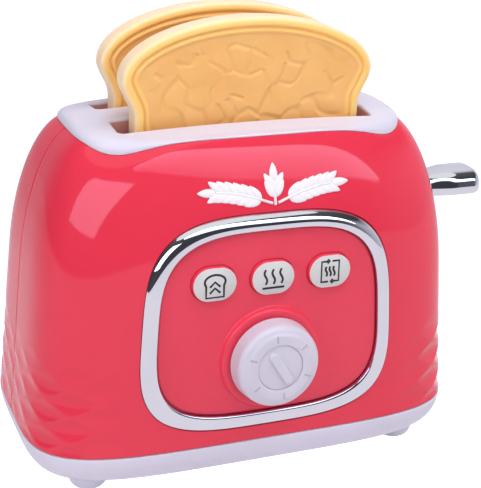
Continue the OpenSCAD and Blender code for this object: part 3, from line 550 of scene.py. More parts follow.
def rodCutter(radius, length, place, sides=32):
    clearSelection()
    bpy.ops.mesh.primitive_cylinder_add(vertices=sides, radius=radius, depth=length, location=(0, 0, 0))
    cutter = nameIt("cutter")
    cutter.data.transform(place)
    return cutter


leverSlot = {"from": 52.5, "half": 3.4, "low": 49.1, "high": 91.9}
joinPosts = [(side * x, z) for side in (-1, 1) for x, z in ((56, 34.2), (50, 100))]
screwForm = {
    "seat": 8.6, "head": 1.4, "radius": 2.2, "well": 2.35, "shank": 1.07, "post": 3.4, "grip": 7,
    "below": 1.6, "clear": 0.1, "wellLong": 60, "wellAt": 40, "dome": ((1, 0.45), (0.82, 0.12), (0.5, 0.0)),
    "crossLong": 1.3, "crossHalf": 0.28, "crossFrom": -0.5, "crossTo": 0.75, "lowLong": 12.4, "lowSeat": 5.2,
}


def skinDepth(x, z):
    p = squareness(z)
    return sideReach(z) * (1 - (abs(x) / endReach(z)) ** p) ** (1 / p)


def inLeverSlot(face):
    x, y, z = face.center
    return x > leverSlot["from"] and abs(y) < leverSlot["half"] and leverSlot["low"] < z < leverSlot["high"]


def buildShell(name, start, side):
    b, m = bodyForm, shellMesh
    z = m["sharedAt"]
    fan, along = rimRun(endReach(z), sideReach(z), squareness(z), start, math.pi)
    total = along[-1]
    nearEnd = np.arange(0, m["ends"], m["fine"])
    nearEnd[np.abs(nearEnd - leverSlot["half"]).argmin()] = leverSlot["half"]
    count = int((total - 2 * m["ends"]) / m["coarse"])
    between = np.linspace(nearEnd[-1], total - nearEnd[-1], count)
    marks = np.concatenate([nearEnd, between[1:-1], total - nearEnd[::-1]])
    angles = np.interp(marks, along, fan)
    heights = np.concatenate([
        [b["seam"], b["seam"] + m["seamRow"]],
        np.arange(b["seam"] + m["lowFrom"], m["change"], m["lowRows"]),
        b["rim"] - (b["rim"] - m["change"]) * np.linspace(1, 0, m["highRows"]) ** m["crowding"],
    ])
    for level in (leverSlot["low"], leverSlot["high"]):
        heights[np.abs(heights - level).argmin()] = level
    piece, across, up = addSheet(name, len(angles) - 1, len(heights) - 1)
    z = heights[up]
    inset = quilting(np.minimum(marks, total - marks)[across], z)
    edge = (across == 0) | (across == len(angles) - 1) | (up == 0)
    inset = np.where(edge, b["groove"], inset)  # fine groove at the parting line and the seam
    spots = bodySkin(angles[across], z, inset)
    spots[:, 1] = side * np.maximum(side * spots[:, 1], b["hairline"])
    putPoints(piece, spots)
    dropFaces(piece, inLeverSlot)
    faceAway(piece, (0, 0, m["middle"]))
    useModifier(piece, "SOLIDIFY", thickness=b["wall"], offset=-1)
    return piece


def postTube(x, z, side, well):
    # moulded post on the parting plane, with the screw's well where it is driven
    s = screwForm
    reach = skinDepth(x, z) - s["below"]
    rings = [(s["post"], s["clear"]), (s["post"], reach)]
    if well:
        rings += [(s["well"], reach), (s["well"], s["seat"])]
    post = turned("post", rings, 32)
    post.data.transform(shifted(x, 0, z) @ rolled(-90 * side, "X"))
    return post


bezelForm = {
    "wide": 90, "tall": 75.8, "square": 3.5, "taper": 0.06, "band": 5.2, "crest": 1.5, "shoulder": 4.0,
    "drop": 1.5, "clear": 0.15, "lip": 0.9, "dip": 0.4, "deep": 8.0, "ledge": 0.9, "rebate": 1.6,
    "skirt": 0.3, "lipDrop": 0.12, "shoulderRows": 22, "columns": 200, "cutDeep": 20,
}
bezelOval = (bezelForm["wide"] / 2, bezelForm["tall"] / 2, bezelForm["square"])
bezelAngles = evenAngles(bezelForm["columns"], *bezelOval)


def bezelLine(off, angles):
    reachX, reachY, power = bezelOval
    x, y = ovalRing(reachX + off, reachY + off, power, angles)
    return x * (1 - bezelForm["taper"] * y / reachY), y


def bezelSheet(name, section):
    # offsets and heights carried round the ring's line
    piece, across, up = addSheet(name, bezelForm["columns"], len(section) - 1)
    off, w = np.array(section)[up].T
    x, y = bezelLine(off, bezelAngles[across])
    putPoints(piece, np.stack([x, y, w], -1))
    weld(piece, caps=True)
    return piece


def bezelCutter():
    deep = bezelForm["cutDeep"]
    cutter = bezelSheet("cutter", [(bezelForm["clear"], -deep), (bezelForm["clear"], deep)])
    cutter.data.transform(panelToBody)
    return cutter


frontShell = buildShell("frontShell", math.pi, -1)
cutWith(frontShell, bezelCutter())
joinUp(frontShell, *[postTube(x, z, -1, False) for x, z in joinPosts])
smooth(frontShell, 40)
settle(frontShell, bodyPlace, redGloss, "body", "red", "front_shell")

rearShell = buildShell("rearShell", 0.0, 1)
wellPlaces = [shifted(x, screwForm["wellAt"], z) @ rolled(90, "X") for x, z in joinPosts]
cutWith(rearShell, joinUp(*[rodCutter(screwForm["well"], screwForm["wellLong"], at) for at in wellPlaces]))
joinUp(rearShell, *[postTube(x, z, 1, True) for x, z in joinPosts])
smooth(rearShell, 40)
settle(rearShell, bodyPlace, redGloss, "body", "red", "rear_shell")
print("shells:", len(frontShell.data.polygons), len(rearShell.data.polygons))

# Top plate: crowned, with two rounded slots and their walls
plateForm = {
    "top": 124.6, "dropX": 1.9, "dropY": 3.2, "slotLong": 91, "slotWide": 12.2, "slotPitch": 26.2,
    "slotRound": 2, "wallFoot": 108.0, "lip": 1.0, "edgeLow": 0.45, "edgeLeast": 0.2, "edgeFoot": 0.15,
    "edgeIn": 3.0, "thick": 1.0, "corner": 0.51,
}
plateMesh = {"long": 60, "corner": 8, "short": 6, "faceRows": 9, "sliver": 1e-4, "merge": 0.004}


def crownHeight(x, y):
    p, rim = plateForm, bodyForm["rim"]
    return p["top"] - p["dropX"] * (x / endReach(rim)) ** 2 - p["dropY"] * (y / sideReach(rim)) ** 2


def slotLoop(grow):
    # slot outline, anticlockwise from the left of its inner side
    p, m = plateForm, plateMesh
    half, wide = p["slotLong"] / 2 + grow, p["slotWide"] / 2 + grow
    r = p["slotRound"] + grow
    x0 = p["slotLong"] / 2 - p["slotRound"]
    y0 = p["slotWide"] / 2 - p["slotRound"]
    quarter = np.linspace(0, math.pi / 2, m["corner"] + 1)[:-1]
    loop = [(x, -wide) for x in np.linspace(-x0, x0, m["long"] + 1)[:-1]]
    loop += [(x0 + r * math.sin(t), -y0 - r * math.cos(t)) for t in quarter]
    loop += [(half, y) for y in np.linspace(-y0, y0, m["short"] + 1)[:-1]]
    loop += [(x0 + r * math.cos(t), y0 + r * math.sin(t)) for t in quarter]
    loop += [(-x, -y) for x, y in loop]
    return np.array(loop) + (0, p["slotPitch"] / 2)


def rimLoop(inset):
    # matching outline: along the middle line, round one end, along the long edge, round the other end
    rim = np.float64(bodyForm["rim"])
    reachX, reachY, p = endReach(rim) - inset, sideReach(rim) - inset, squareness(rim)
    turn, long = plateForm["corner"], plateMesh["long"]
    ends = 2 * plateMesh["corner"] + plateMesh["short"]
    loop = [np.stack([np.linspace(-reachX, reachX, long + 1)[:-1], np.zeros(long)], -1)]
    stops = (0, turn, math.pi - turn, math.pi)
    for start, stop, count in zip(stops, stops[1:], (ends, long, ends)):
        angles = evenAngles(count, reachX, reachY, p, start, stop - start)
        loop.append(np.stack(ovalRing(reachX, reachY, p, angles[:-1]), -1))
    return np.concatenate(loop)


def onCrown(loop, below=0.0):
    return np.column_stack([loop, crownHeight(loop[:, 0], loop[:, 1]) - below])


def plateHalf(side):
    f = plateForm
    layers = []
    start = slotLoop(0)
    wallTop = onCrown(start, f["lip"])[:, 2]
    for k in (0, 0.35, 0.7, 1):  # slot wall
        layers.append(np.column_stack([start, f["wallFoot"] + (wallTop - f["wallFoot"]) * k]))
    for t in np.radians((15, 30, 45, 60, 75, 90)):  # rounded lip
        layers.append(onCrown(slotLoop(f["lip"] * (1 - math.cos(t))), f["lip"] * (1 - math.sin(t))))
    inner, outer = slotLoop(f["lip"]), rimLoop(f["edgeIn"])
    for k in np.linspace(0, 1, plateMesh["faceRows"] + 1)[1:]:  # crowned face
        layers.append(onCrown(inner + (outer - inner) * k))
    still = np.arange(len(outer)) < plateMesh["long"]  # the middle line keeps its place
    still[0] = False  # the left end's point belongs to the rim
    rimZ = bowed(*rimLoop(0).T, np.float64(bodyForm["rim"]))
    edgeZ = rimZ + f["edgeLow"]
    high = np.maximum(edgeZ + f["edgeLeast"], onCrown(outer)[:, 2])
    edge = []
    for t in np.radians((75, 60, 45, 30, 15, 0)):  # rounded outer edge
        tall = edgeZ + (high - rimZ - f["edgeLow"]) * math.sin(t)
        edge.append(np.column_stack([rimLoop(f["edgeIn"] * (1 - math.cos(t))), tall]))
    edge.append(np.column_stack([rimLoop(0), rimZ + f["edgeFoot"]]))
    for layer in edge:
        layer[still] = layers[-1][still]
    stack = np.array(layers + edge)
    count = stack.shape[1]
    piece, across, up = addSheet("slotPlate", count, len(stack) - 1)
    putPoints(piece, stack[up, across % count] * (1, side, 1))
    if np.mean([face.normal.z for face in piece.data.polygons]) < 0:
        turnRound(piece)
    return piece


slotPlate = joinUp(plateHalf(1), plateHalf(-1))
offMiddle = np.abs(readPoints(slotPlate)[:, 1])
dropFaces(slotPlate, lambda face: offMiddle[list(face.vertices)].max() < plateMesh["sliver"])
editAll(slotPlate)
bpy.ops.mesh.remove_doubles(threshold=plateMesh["merge"])  # the halves meet on the middle line
bpy.ops.mesh.delete_loose()
endEdit()
useModifier(slotPlate, "SOLIDIFY", thickness=plateForm["thick"], offset=-1)
smooth(slotPlate, 40)
slotPlate.data.materials.append(ivorySatin)
slotPlate.data.materials.append(slotPaintedShade)


def inSlot(x, y, z):
    p = plateForm
    over = abs(x) < p["slotLong"] / 2 + p["lip"]
    over = over and abs(abs(y) - p["slotPitch"] / 2) < p["slotWide"] / 2 + p["lip"]
    return over and z < crownHeight(x, y) - p["lip"]


for face in slotPlate.data.polygons:
    if inSlot(*face.center):
        face.material_index = 1  # walls inside the slots, painted brownish-pink as shade with the red body's bounce light
settle(slotPlate, bodyPlace, None, "body", "ivory", "top_plate")
print("top plate:", len(slotPlate.data.polygons))

# Base tray with a rounded lower edge, screw wells and domed feet
baseForm = {
    "bottom": 5.0, "round": 8.0, "top": 17.05, "floor": 9.0, "lipTop": 20.2, "lipIn": 2.35, "lipThick": 1.6,
    "slope": 1.0, "edge": 0.5, "edgeRows": ((0.1, 0.18), (0.42, 0.0)), "screwX": 66, "screwY": 20,
    "footX": 59.4, "footY": 28.4, "wellLong": 8, "wellAt": 2.6, "columns": 240,
}
cornerSides = [(sx, sy) for sx in (-1, 1) for sy in (-1, 1)]


def buildBase():
    b = baseForm
    top, inner = b["top"] - b["edge"], b["lipIn"] + b["lipThick"]
    rows = [(b["round"] * (1 - math.cos(t)), top - (top - b["bottom"]) * math.sin(t))
            for t in np.radians(np.linspace(90, 0, 15))]
    rows += [(inset, b["top"] - low) for inset, low in b["edgeRows"]]
    rows += [(b["lipIn"], b["top"]), (b["lipIn"], b["lipTop"]), (inner, b["lipTop"])]
    rows += [(inner + b["slope"], b["top"] - 2 * b["slope"]), (b["round"], b["floor"])]
    reachX, reachY, p = bodyForm["length"] / 2, bodyForm["depth"] / 2, bodyForm["lowSquare"]
    angles = evenAngles(b["columns"], reachX, reachY, p)
    piece, across, up = addSheet("baseTray", b["columns"], len(rows) - 1)
    inset, z = np.array(rows)[up].T
    x, y = ovalRing(reachX - inset, reachY - inset, p, angles[across])
    putPoints(piece, np.stack([x, y, z], -1))
    weld(piece, caps=True)
    holes = [
        rodCutter(screwForm["well"], b["wellLong"], shifted(sx * b["screwX"], sy * b["screwY"], b["wellAt"]))
        for sx, sy in cornerSides
    ]
    cutWith(piece, joinUp(*holes))
    smooth(piece, 40)
    settle(piece, bodyPlace, ivorySatin, "body", "ivory", "base_tray")


footForm = {"tip": 3.5, "pad": 4.0, "radius": 7.2, "height": 5.0, "lift": 0.06, "seat": 6.6}


def footRings():
    f = footForm
    rings = [(f["tip"], 0.0)]
    for t in np.radians(np.linspace(4, 90, 12)):
        radius = f["pad"] + (f["radius"] - f["pad"]) * math.sin(t)
        rings.append((radius, f["height"] * (1 - math.cos(t)) + f["lift"]))
    return rings + [(f["radius"], f["seat"])]


buildBase()
foot = turned("foot", footRings(), 56)
smooth(foot, 45)
for sx, sy in cornerSides:
    wide, deep = "left" if sx < 0 else "right", "front" if sy < 0 else "rear"
    twin = copyOf(foot, "foot" + deep.title() + wide.title())
    place = bodyPlace @ shifted(sx * baseForm["footX"], sy * baseForm["footY"], 0)
    settle(twin, place, ivorySatin, "body", "ivory", "foot_" + deep + "_" + wide)
discard(foot)
print("base and feet set")


# Screws that show: domed heads with a cross recess
def crossScrew(length):
    s = screwForm
    rings = [(s["shank"], length + s["head"]), (s["shank"], s["head"]), (s["radius"], s["head"])]
    rings += [(s["radius"] * share, z) for share, z in s["dome"]]
    screw = turned("screw", rings, 28)
    for x, y in ((s["crossLong"], s["crossHalf"]), (s["crossHalf"], s["crossLong"])):
        cutWith(screw, boxCutter((-x, -y, s["crossFrom"]), (x, y, s["crossTo"])))
    smooth(screw, 35)
    return screw


def setScrews(name, length, places, node):
    screw = crossScrew(length)
    screws = joinUp(*[copyOf(screw, name, place) for place in places])
    settle(screws, bodyPlace, bareSteel, "body", "steel", node)
    discard(screw)


setScrews("rearScrews", screwForm["seat"] + screwForm["grip"], [
    shifted(x, screwForm["seat"] + screwForm["head"], z) @ rolled(90, "X")
    @ rolled(20 + 31 * k, "Z")  # each head stops at its own angle
    for k, (x, z) in enumerate(joinPosts)
], "shell_screws")
setScrews("baseScrews", screwForm["lowLong"], [
    shifted(sx * baseForm["screwX"], sy * baseForm["screwY"], screwForm["lowSeat"])
    @ rolled(15 + 40 * sx + 9 * sy, "Z")
    for sx, sy in cornerSides
], "base_screws")


# Chrome ring and the control pad inside it
def buildRing():
    # round outer shoulder, flat crest and a small inner lip; rebated behind for the pad's flange
    b = bezelForm
    run, r = b["band"] - b["lip"], b["shoulder"]
    start = math.asin((r - b["crest"] - b["drop"]) / r)
    section = [(0, -b["deep"]), (0, -b["deep"] / 2), (0, -b["drop"] - b["skirt"])]
    shoulder = [(r * (math.cos(t) - math.cos(start)), b["crest"] - r * (1 - math.sin(t)))
                for t in np.linspace(start, math.pi / 2, b["shoulderRows"])]
    section += shoulder + [(-run, b["crest"])]
    section += [(-run - b["lip"] * k, b["crest"] - b["dip"] * k * k) for k in (0.25, 0.5, 0.75, 0.92)]
    inner, back = -b["band"], b["rebate"] - b["band"]
    section += [(inner, b["crest"] - b["dip"] - b["lipDrop"]), (inner, -b["ledge"])]
    section += [(back, -b["ledge"]), (back, -b["deep"]), (0, -b["deep"])]
    piece, across, up = addSheet("chromeRing", b["columns"], len(section) - 1)
    off, w = np.array(section)[up].T
    edgeX, edgeY = bezelLine(0, bezelAngles[across])
    tilt = math.radians(panelForm["tilt"])
    depth = skinDepth(edgeX, panelForm["z"] + edgeY * math.cos(tilt))
    skin = np.clip(depth + panelForm["y"] + edgeY * math.sin(tilt) + b["clear"], -b["drop"], b["clear"])
    risen = (up >= 2) & (up < 3 + len(shoulder))  # these rows start from the body's skin
    w = np.where(risen, b["crest"] - (b["crest"] - w) * (b["crest"] - skin) / (b["crest"] + b["drop"]), w)
    x, y = bezelLine(off, bezelAngles[across])
    putPoints(piece, np.stack([x, y, w], -1))
    weld(piece)
    smooth(piece, 40)
    return settle(piece, panelPlace, mirrorChrome, "body", "chrome", "bezel_ring")


chromeRing = buildRing()
padForm = {
    "inset": 5.6, "wall": 2.0, "thick": 2.4, "deep": 8.0, "edge": 0.6, "flange": 1.4, "ledge": 1.05,
    "knobV": -12.8, "shaftHole": 3.06, "shaftLong": 30, "bossRadius": 18.2, "bossHigh": 2.0, "bossSunk": 0.4,
    "bossFoot": ((0.5, -0.4), (0.5, -0.02), (0.15, 0.12), (-0.1, 0.5)), "bossSides": 96,
    "bossRim": ((-0.3, -0.75), (-0.55, -0.4), (-0.9, -0.14), (-1.4, 0), (-2.2, 0)),
}
buttonForm = {
    "pitch": 20.6, "v": 16.2, "wide": 15.6, "tall": 12.0, "proud": 1.5, "gap": 0.2, "edge": 0.5,
    "edgeDeep": 1.1, "labelIn": 0.35, "label": 0.12, "labelSunk": 0.1, "labelEdge": 0.08, "flange": 1.2,
    "back": -3.8, "stem": 1.6, "stemEnd": -15.2, "holeLow": -12, "holeHigh": 6, "inkWide": 0.78,
    "inkFlat": 0.26, "sides": 72,
}
buttonStretch = (buttonForm["wide"] - buttonForm["tall"]) / 2


def roundEdge(out, top, wide, deep, degrees):
    # a quarter round between the outer wall and the top
    return [(out - wide * (1 - math.cos(t)), top - deep * (1 - math.sin(t))) for t in np.radians(degrees)]


def ovalCutter(grow, low, high, u, v):
    # a button's outline: two half circles and the straights between them
    cutter, across, up = addSheet("cutter", buttonForm["sides"], 1)
    turn = roundTurn(across, buttonForm["sides"])
    r = buttonForm["tall"] / 2 + grow
    x = np.sign(np.round(np.cos(turn), 6)) * buttonStretch + r * np.cos(turn)
    putPoints(cutter, np.stack([x + u, r * np.sin(turn) + v, np.where(up == 0, low, high)], -1))
    weld(cutter, caps=True)
    return cutter


def buildPad():
    p, b = padForm, buttonForm
    off = -p["inset"]
    rows = [(off - p["wall"], -p["thick"]), (off - p["wall"], -p["deep"]), (off + p["flange"], -p["deep"])]
    rows += [(off + p["flange"], -p["ledge"]), (off, -p["ledge"]), (off, -p["edge"])]
    rows += roundEdge(off, 0, p["edge"], p["edge"], (22, 45, 68, 90))
    piece = bezelSheet("controlPad", rows)
    holes = [ovalCutter(b["gap"], b["holeLow"], b["holeHigh"], k * b["pitch"], b["v"]) for k in (-1, 0, 1)]
    holes.append(rodCutter(p["shaftHole"], p["shaftLong"], shifted(0, p["knobV"], 0), 40))
    cutWith(piece, joinUp(*holes))
    r, high, hole = p["bossRadius"], p["bossHigh"], p["shaftHole"]
    section = [(hole, -p["bossSunk"])] + [(r + out, w) for out, w in p["bossFoot"]]
    section += [(r + out, high + w) for out, w in p["bossRim"]] + [(hole, high), (hole, -p["bossSunk"])]
    boss, across, up = addSheet("boss", p["bossSides"], len(section) - 1)
    radius, w = np.array(section)[up].T
    turn = roundTurn(across, p["bossSides"])
    putPoints(boss, np.stack([radius * np.cos(turn), radius * np.sin(turn) + p["knobV"], w], -1))
    weld(boss)
    joinUp(piece, boss)
    smooth(piece, 42)
    return settle(piece, panelPlace, padRed, "body", "red", "control_panel")


controlPad = buildPad()
print("ring and pad:", len(chromeRing.data.polygons), len(controlPad.data.polygons))


# Buttons with raised pictograms
def inkLines(lines, width, flat):
    # each line is a run of points; drawn as a thin rounded bead and pressed flat
    piece = bead("ink", [([(x, y, 0) for x, y in run], closed) for run, closed in lines], width / 2)
    piece.data.transform(Matrix.Diagonal((1, 1, flat, 1)))
    return piece


def wave(x, y, tall, swing, steps=14):
    shares = [k / steps for k in range(steps + 1)]
    return [(x + swing * math.sin(2 * math.pi * k), y + tall * (k - 0.5)) for k in shares]


def sliceIcon():
    # bread outline with two chevrons
    dome = [(3.6 * math.cos(t), 1.0 + 2.4 * math.sin(t)) for t in np.radians(np.linspace(-25, 205, 21))]
    body = [(-3.1, -0.5), (-3.1, -4.4), (3.1, -4.4), (3.1, -0.5)]
    low = [(-1.8, -2.9), (0, -1.2), (1.8, -2.9)]
    high = [(-1.8, -0.8), (0, 0.9), (1.8, -0.8)]
    return [(dome + body, True), (low, False), (high, False)]


def heatIcon():
    return [(wave(x, 0.5, 5.2, 0.5), False) for x in (-2.8, 0, 2.8)] + [([(-3.9, -3.4), (3.9, -3.4)], False)]


def turnIcon():
    # two brackets that end in arrow heads, round three waves
    lines = [(wave(x, 0, 3.4, 0.32), False) for x in (-1.4, 0, 1.4)]
    for side in (-1, 1):
        x, y = side * 3.2, side * 3.6
        bracket = [(side * 0.7, y), (x, y), (x, -y), (side * 0.9, -y)]
        head = [(side * 1.1, -y + 0.7), (side * 0.3, -y), (side * 1.1, -y - 0.7)]
        lines += [(bracket, False), (head, False)]
    return lines


def drawOut(piece, reach, chosen=None):
    # a round form drawn out sideways to an oval
    spots = readPoints(piece)
    pick = slice(None) if chosen is None else chosen(spots)
    spots[pick, 0] += np.sign(np.round(spots[pick, 0], 5)) * reach
    putPoints(piece, spots)


def buildButton(word, k, icon):
    b = buttonForm
    r, top, back, stem = b["tall"] / 2, b["proud"], b["back"], b["stem"]
    rings = [(stem, b["stemEnd"]), (stem, back), (r + b["flange"], back)]
    rings += [(r + b["flange"], back + b["flange"]), (r, back + b["flange"]), (r, top - b["edgeDeep"])]
    rings += roundEdge(r, top, b["edge"], b["edgeDeep"], (18, 36, 54, 72, 90))
    cap = turned("button" + word.title(), rings, b["sides"])
    drawOut(cap, buttonStretch,
            lambda s: (s[:, 2] > back - 0.01) & (np.hypot(s[:, 0], s[:, 1]) > stem + 0.01))
    reach = r - b["labelIn"]
    rings = [(reach, top - b["labelSunk"]), (reach, top + b["label"] / 2)]
    label = turned("label", rings + [(reach - b["labelEdge"], top + b["label"])], b["sides"])
    drawOut(label, buttonStretch)
    ink = inkLines(icon, b["inkWide"], b["inkFlat"])
    ink.data.transform(shifted(0, 0, top + b["label"]))
    for part, finish in ((cap, padRed), (label, buttonMatt), (ink, iconInk)):
        part.data.materials.append(finish)
    joinUp(cap, label, ink)
    smooth(cap, 40)
    node = "button_" + word
    settle(cap, panelPlace @ shifted(k * b["pitch"], b["v"], 0), None, node, "button", node)


for k, word, icon in ((-1, "left", sliceIcon()), (0, "mid", heatIcon()), (1, "right", turnIcon())):
    buildButton(word, k, icon)
print("buttons set")

# Dial with marks, and its pointer disc
knobForm = {
    "foot": 2.5, "radius": 15.2, "footEdge": ((0.5, 0.0), (0.0, 0.4)), "shoulder": 7.2, "face": 10.3,
    "round": 2.4, "drawIn": 0.5, "hole": 3.1, "recess": 8.05, "recessEdge": 0.3, "sunk": 9.1, "pointer": -58,
    "crest": ((12.5, 0.64), (12.05, 0.44), (11.75, 0.2), (11.45, 0.06), (11.1, 0), (8.6, 0), (8.3, 0.08)),
    "disc": ((8.0, 0.05), (8.0, 0.5), (7.9, 0.68), (7.6, 0.78), (3, 0.8)), "barWide": 3.2, "barLong": 13.4,
    "bar": ((0.0, 0.4), (0.0, 1.55), (0.12, 1.8), (0.4, 1.95), (1.1, 2.0)),
}
markForm = {
    "count": 6, "first": 98, "from": 9.2, "long": 2.6, "wide": 0.7, "sunk": 0.3, "proud": 0.08, "round": 0.18,
}
knobPlace = panelPlace @ shifted(0, padForm["knobV"], 0)


def buildKnob():
    n, m = knobForm, markForm
    side, face = n["radius"] - n["drawIn"], n["face"]
    rings = [(n["hole"], n["foot"])] + [(n["radius"] - inset, n["foot"] + z) for inset, z in n["footEdge"]]
    rings.append((side, n["shoulder"]))
    rings += roundEdge(side, n["shoulder"] + n["round"], n["round"], n["round"], (12, 24, 36, 48, 60, 72))
    rings += [(radius, face - low) for radius, low in n["crest"]]
    rings += [(n["recess"], face - n["recessEdge"]), (n["recess"], n["sunk"]), (n["hole"], n["sunk"])]
    knob = turned("dialKnob", rings, 128)
    knob.data.materials.append(dialIvory)
    mark = boxCutter((m["from"], -m["wide"] / 2, face - m["sunk"]),
                     (m["from"] + m["long"], m["wide"] / 2, face + m["proud"]))
    useModifier(mark, "BEVEL", width=m["round"], segments=3, limit_method="ANGLE")
    mark.data.materials.append(tickGrey)
    turns = [m["first"] - 360 / m["count"] * k for k in range(m["count"])]
    joinUp(knob, *[copyOf(mark, "mark", rolled(turn, "Z")) for turn in turns])
    discard(mark)
    smooth(knob, 40)
    settle(knob, knobPlace, None, "knob", "ivory", "knob")


def buildPointer():
    n = knobForm
    low, half = n["sunk"], n["barWide"] / 2
    disc = turned("dialDisc", [(radius, low + z) for radius, z in n["disc"]], 96)
    bar = turned("bar", [(half - inset, low + z) for inset, z in n["bar"]], 40)
    drawOut(bar, (n["barLong"] - n["barWide"]) / 2)
    bar.data.transform(rolled(n["pointer"], "Z"))
    joinUp(disc, bar)
    smooth(disc, 40)
    settle(disc, knobPlace, dialIvory, "knob", "ivory", "knob_cap")


buildKnob()
buildPointer()
print("dial set")

# Chrome lever
leverForm = {
    "root": 79.2, "tip": 102.0, "low": 83.9, "tall": 10.0, "wide": 18.0, "square": 3.0, "lean": 0.12,
    "leanAll": 0.4, "nose": 0.79, "rootWide": 0.75, "rootTall": 0.9, "fullAt": 0.46, "tipWide": 0.02,
    "tipTall": 0.3, "tipLift": 0.2, "straight": 0.75, "straightRows": 18, "noseRows": 26, "sides": 56,
}


def upFrom(start, k):
    return start + (1 - start) * k


def buildLever():
    f = leverForm
    closing = np.sin(np.linspace(0, math.pi / 2, f["noseRows"]))  # rows crowd towards the tip
    runs = np.linspace(0, f["straight"], f["straightRows"] + 1)[:-1]
    runs = np.concatenate([runs, upFrom(f["straight"], closing)])
    piece, across, up = addSheet("leverHandle", f["sides"], len(runs) - 1)
    k = runs[up]
    end = np.sqrt(np.clip(1 - np.clip((k - f["nose"]) / (1 - f["nose"]), 0, 1) ** 2, 0, 1))
    grow = easeStep(0, f["fullAt"], k)
    half = upFrom(f["rootWide"], grow) * f["wide"] / 2 * upFrom(f["tipWide"], end)
    top = f["low"] + upFrom(f["rootTall"], grow) * f["tall"] * upFrom(f["tipTall"], end)
    low = f["low"] + f["tipLift"] * f["tall"] * (1 - end)
    y, z = ovalRing(half, (top - low) / 2, f["square"], roundTurn(across, f["sides"]))
    y = y * (1 - f["lean"] * (2 * z / (top - low) + f["leanAll"]))  # narrower towards its top
    putPoints(piece, np.stack([f["root"] + (f["tip"] - f["root"]) * k, y, (top + low) / 2 + z], -1))
    weld(piece, caps=True)
    smooth(piece, 50)
    settle(piece, bodyPlace, mirrorChrome, "carriage", "chrome", "lever")


buildLever()

# Slices of toy bread
breadForm = {
    "half": 40.1, "ear": 44.2, "tall": 84.0, "dome": 19.0, "neck": 12.0, "corner": 7.0, "bottom": 73.1,
    "row": 13.1, "columns": 520, "faceRows": 62, "spineLow": 30.0, "spineHigh": 56.0,
}
crumbForm = {
    "cell": 7.4, "rowPitch": 0.87, "stray": 3.0, "tilt": 0.055, "share": 0.5, "crease": 1.2, "deep": 0.4,
    "blend": 0.6, "clear": 3.0, "bend": 0.9, "bendLong": 2.6, "colsAside": 7, "rows": 15, "seeds": (5, 21),
}
crustRows = [  # inset from the outline, half thickness, tint: 0 face, 0.5 golden band, 1 pale edge in painted reflection
    (0.0, 1.1, 1.0), (0.0, 2.3, 1.0), (0.0, 3.2, 1.0), (0.15, 3.6, 0.95), (0.4, 3.95, 0.85),
    (0.8, 4.22, 0.7), (1.2, 4.44, 0.55), (1.8, 4.57, 0.5), (2.3, 4.58, 0.5), (2.6, 4.42, 0.45),
    (2.8, 4.1, 0.35), (3.05, 3.78, 0.2), (3.3, 3.7, 0.2), (3.55, 3.84, 0.25), (3.8, 4.12, 0.3),
    (4.1, 4.31, 0.35), (4.4, 4.34, 0.35), (4.75, 4.18, 0.25), (5.1, 3.92, 0.1), (5.45, 3.78, 0.0),
    (5.8, 3.75, 0.0),
]


def breadLine():
    # outline from the top, clockwise, shared out evenly
    f = breadForm
    ear = f["tall"] - f["dome"]
    right = [(f["ear"] * math.cos(t), ear + f["dome"] * math.sin(t))
             for t in np.radians(np.linspace(90, 0, 181))]
    for k in np.linspace(0, 1, 61)[1:]:
        drop = f["half"] + (f["ear"] - f["half"]) * float(easeStep(0, 1, 1 - k))
        right.append((drop, ear - f["neck"] * k))
    right += [(f["half"] - f["corner"] * (1 - math.cos(t)), f["corner"] * (1 - math.sin(t)))
              for t in np.radians(np.linspace(0, 90, 40))]
    right.append((0.0, 0.0))
    right = np.array(right)
    along = np.concatenate([[0], np.cumsum(np.hypot(*np.diff(right, axis=0).T))])
    marks = np.linspace(0, along[-1], f["columns"] // 2 + 1)
    right = np.stack([np.interp(marks, along, right[:, 0]), np.interp(marks, along, right[:, 1])], -1)
    return np.concatenate([right, right[-2:0:-1] * (-1, 1)])


def crumbRelief(x, h, seed):
    # soft creases between loose patches, and a slight tilt to each patch
    f = crumbForm
    chance = np.random.default_rng(seed)
    cols, rows = np.meshgrid(np.arange(-f["colsAside"], f["colsAside"] + 1), np.arange(f["rows"]))
    across, tall = (cols + 0.5 * (rows % 2)) * f["cell"], rows * f["cell"] * f["rowPitch"]
    spots = np.stack([across, tall], -1).reshape(-1, 2)
    spots = spots + chance.uniform(-f["stray"], f["stray"], spots.shape)
    tilt = chance.uniform(-f["tilt"], f["tilt"], spots.shape)
    creased = chance.random((len(spots), len(spots))) < f["share"]
    bentX = x + f["bend"] * np.sin(h / f["bendLong"] + seed)  # no crease runs straight
    bentH = h + f["bend"] * np.sin(x / f["bendLong"] - seed)
    stepX, stepH = bentX[:, None] - spots[:, 0], bentH[:, None] - spots[:, 1]
    away = np.hypot(stepX, stepH)
    order = np.argsort(away, axis=1)
    near, far = np.sort(order[:, :2], axis=1).T
    line = np.arange(len(x))
    gap = np.abs(away[line, near] - away[line, far])
    crease = creased[near, far] * np.exp(-(gap / f["crease"]) ** 2)
    weight = np.exp(-(away - away.min(axis=1, keepdims=True)) / f["blend"])
    weight /= weight.sum(axis=1, keepdims=True)
    slope = stepX * tilt[:, 0] + stepH * tilt[:, 1]
    return (weight * slope).sum(axis=1) - f["deep"] * crease


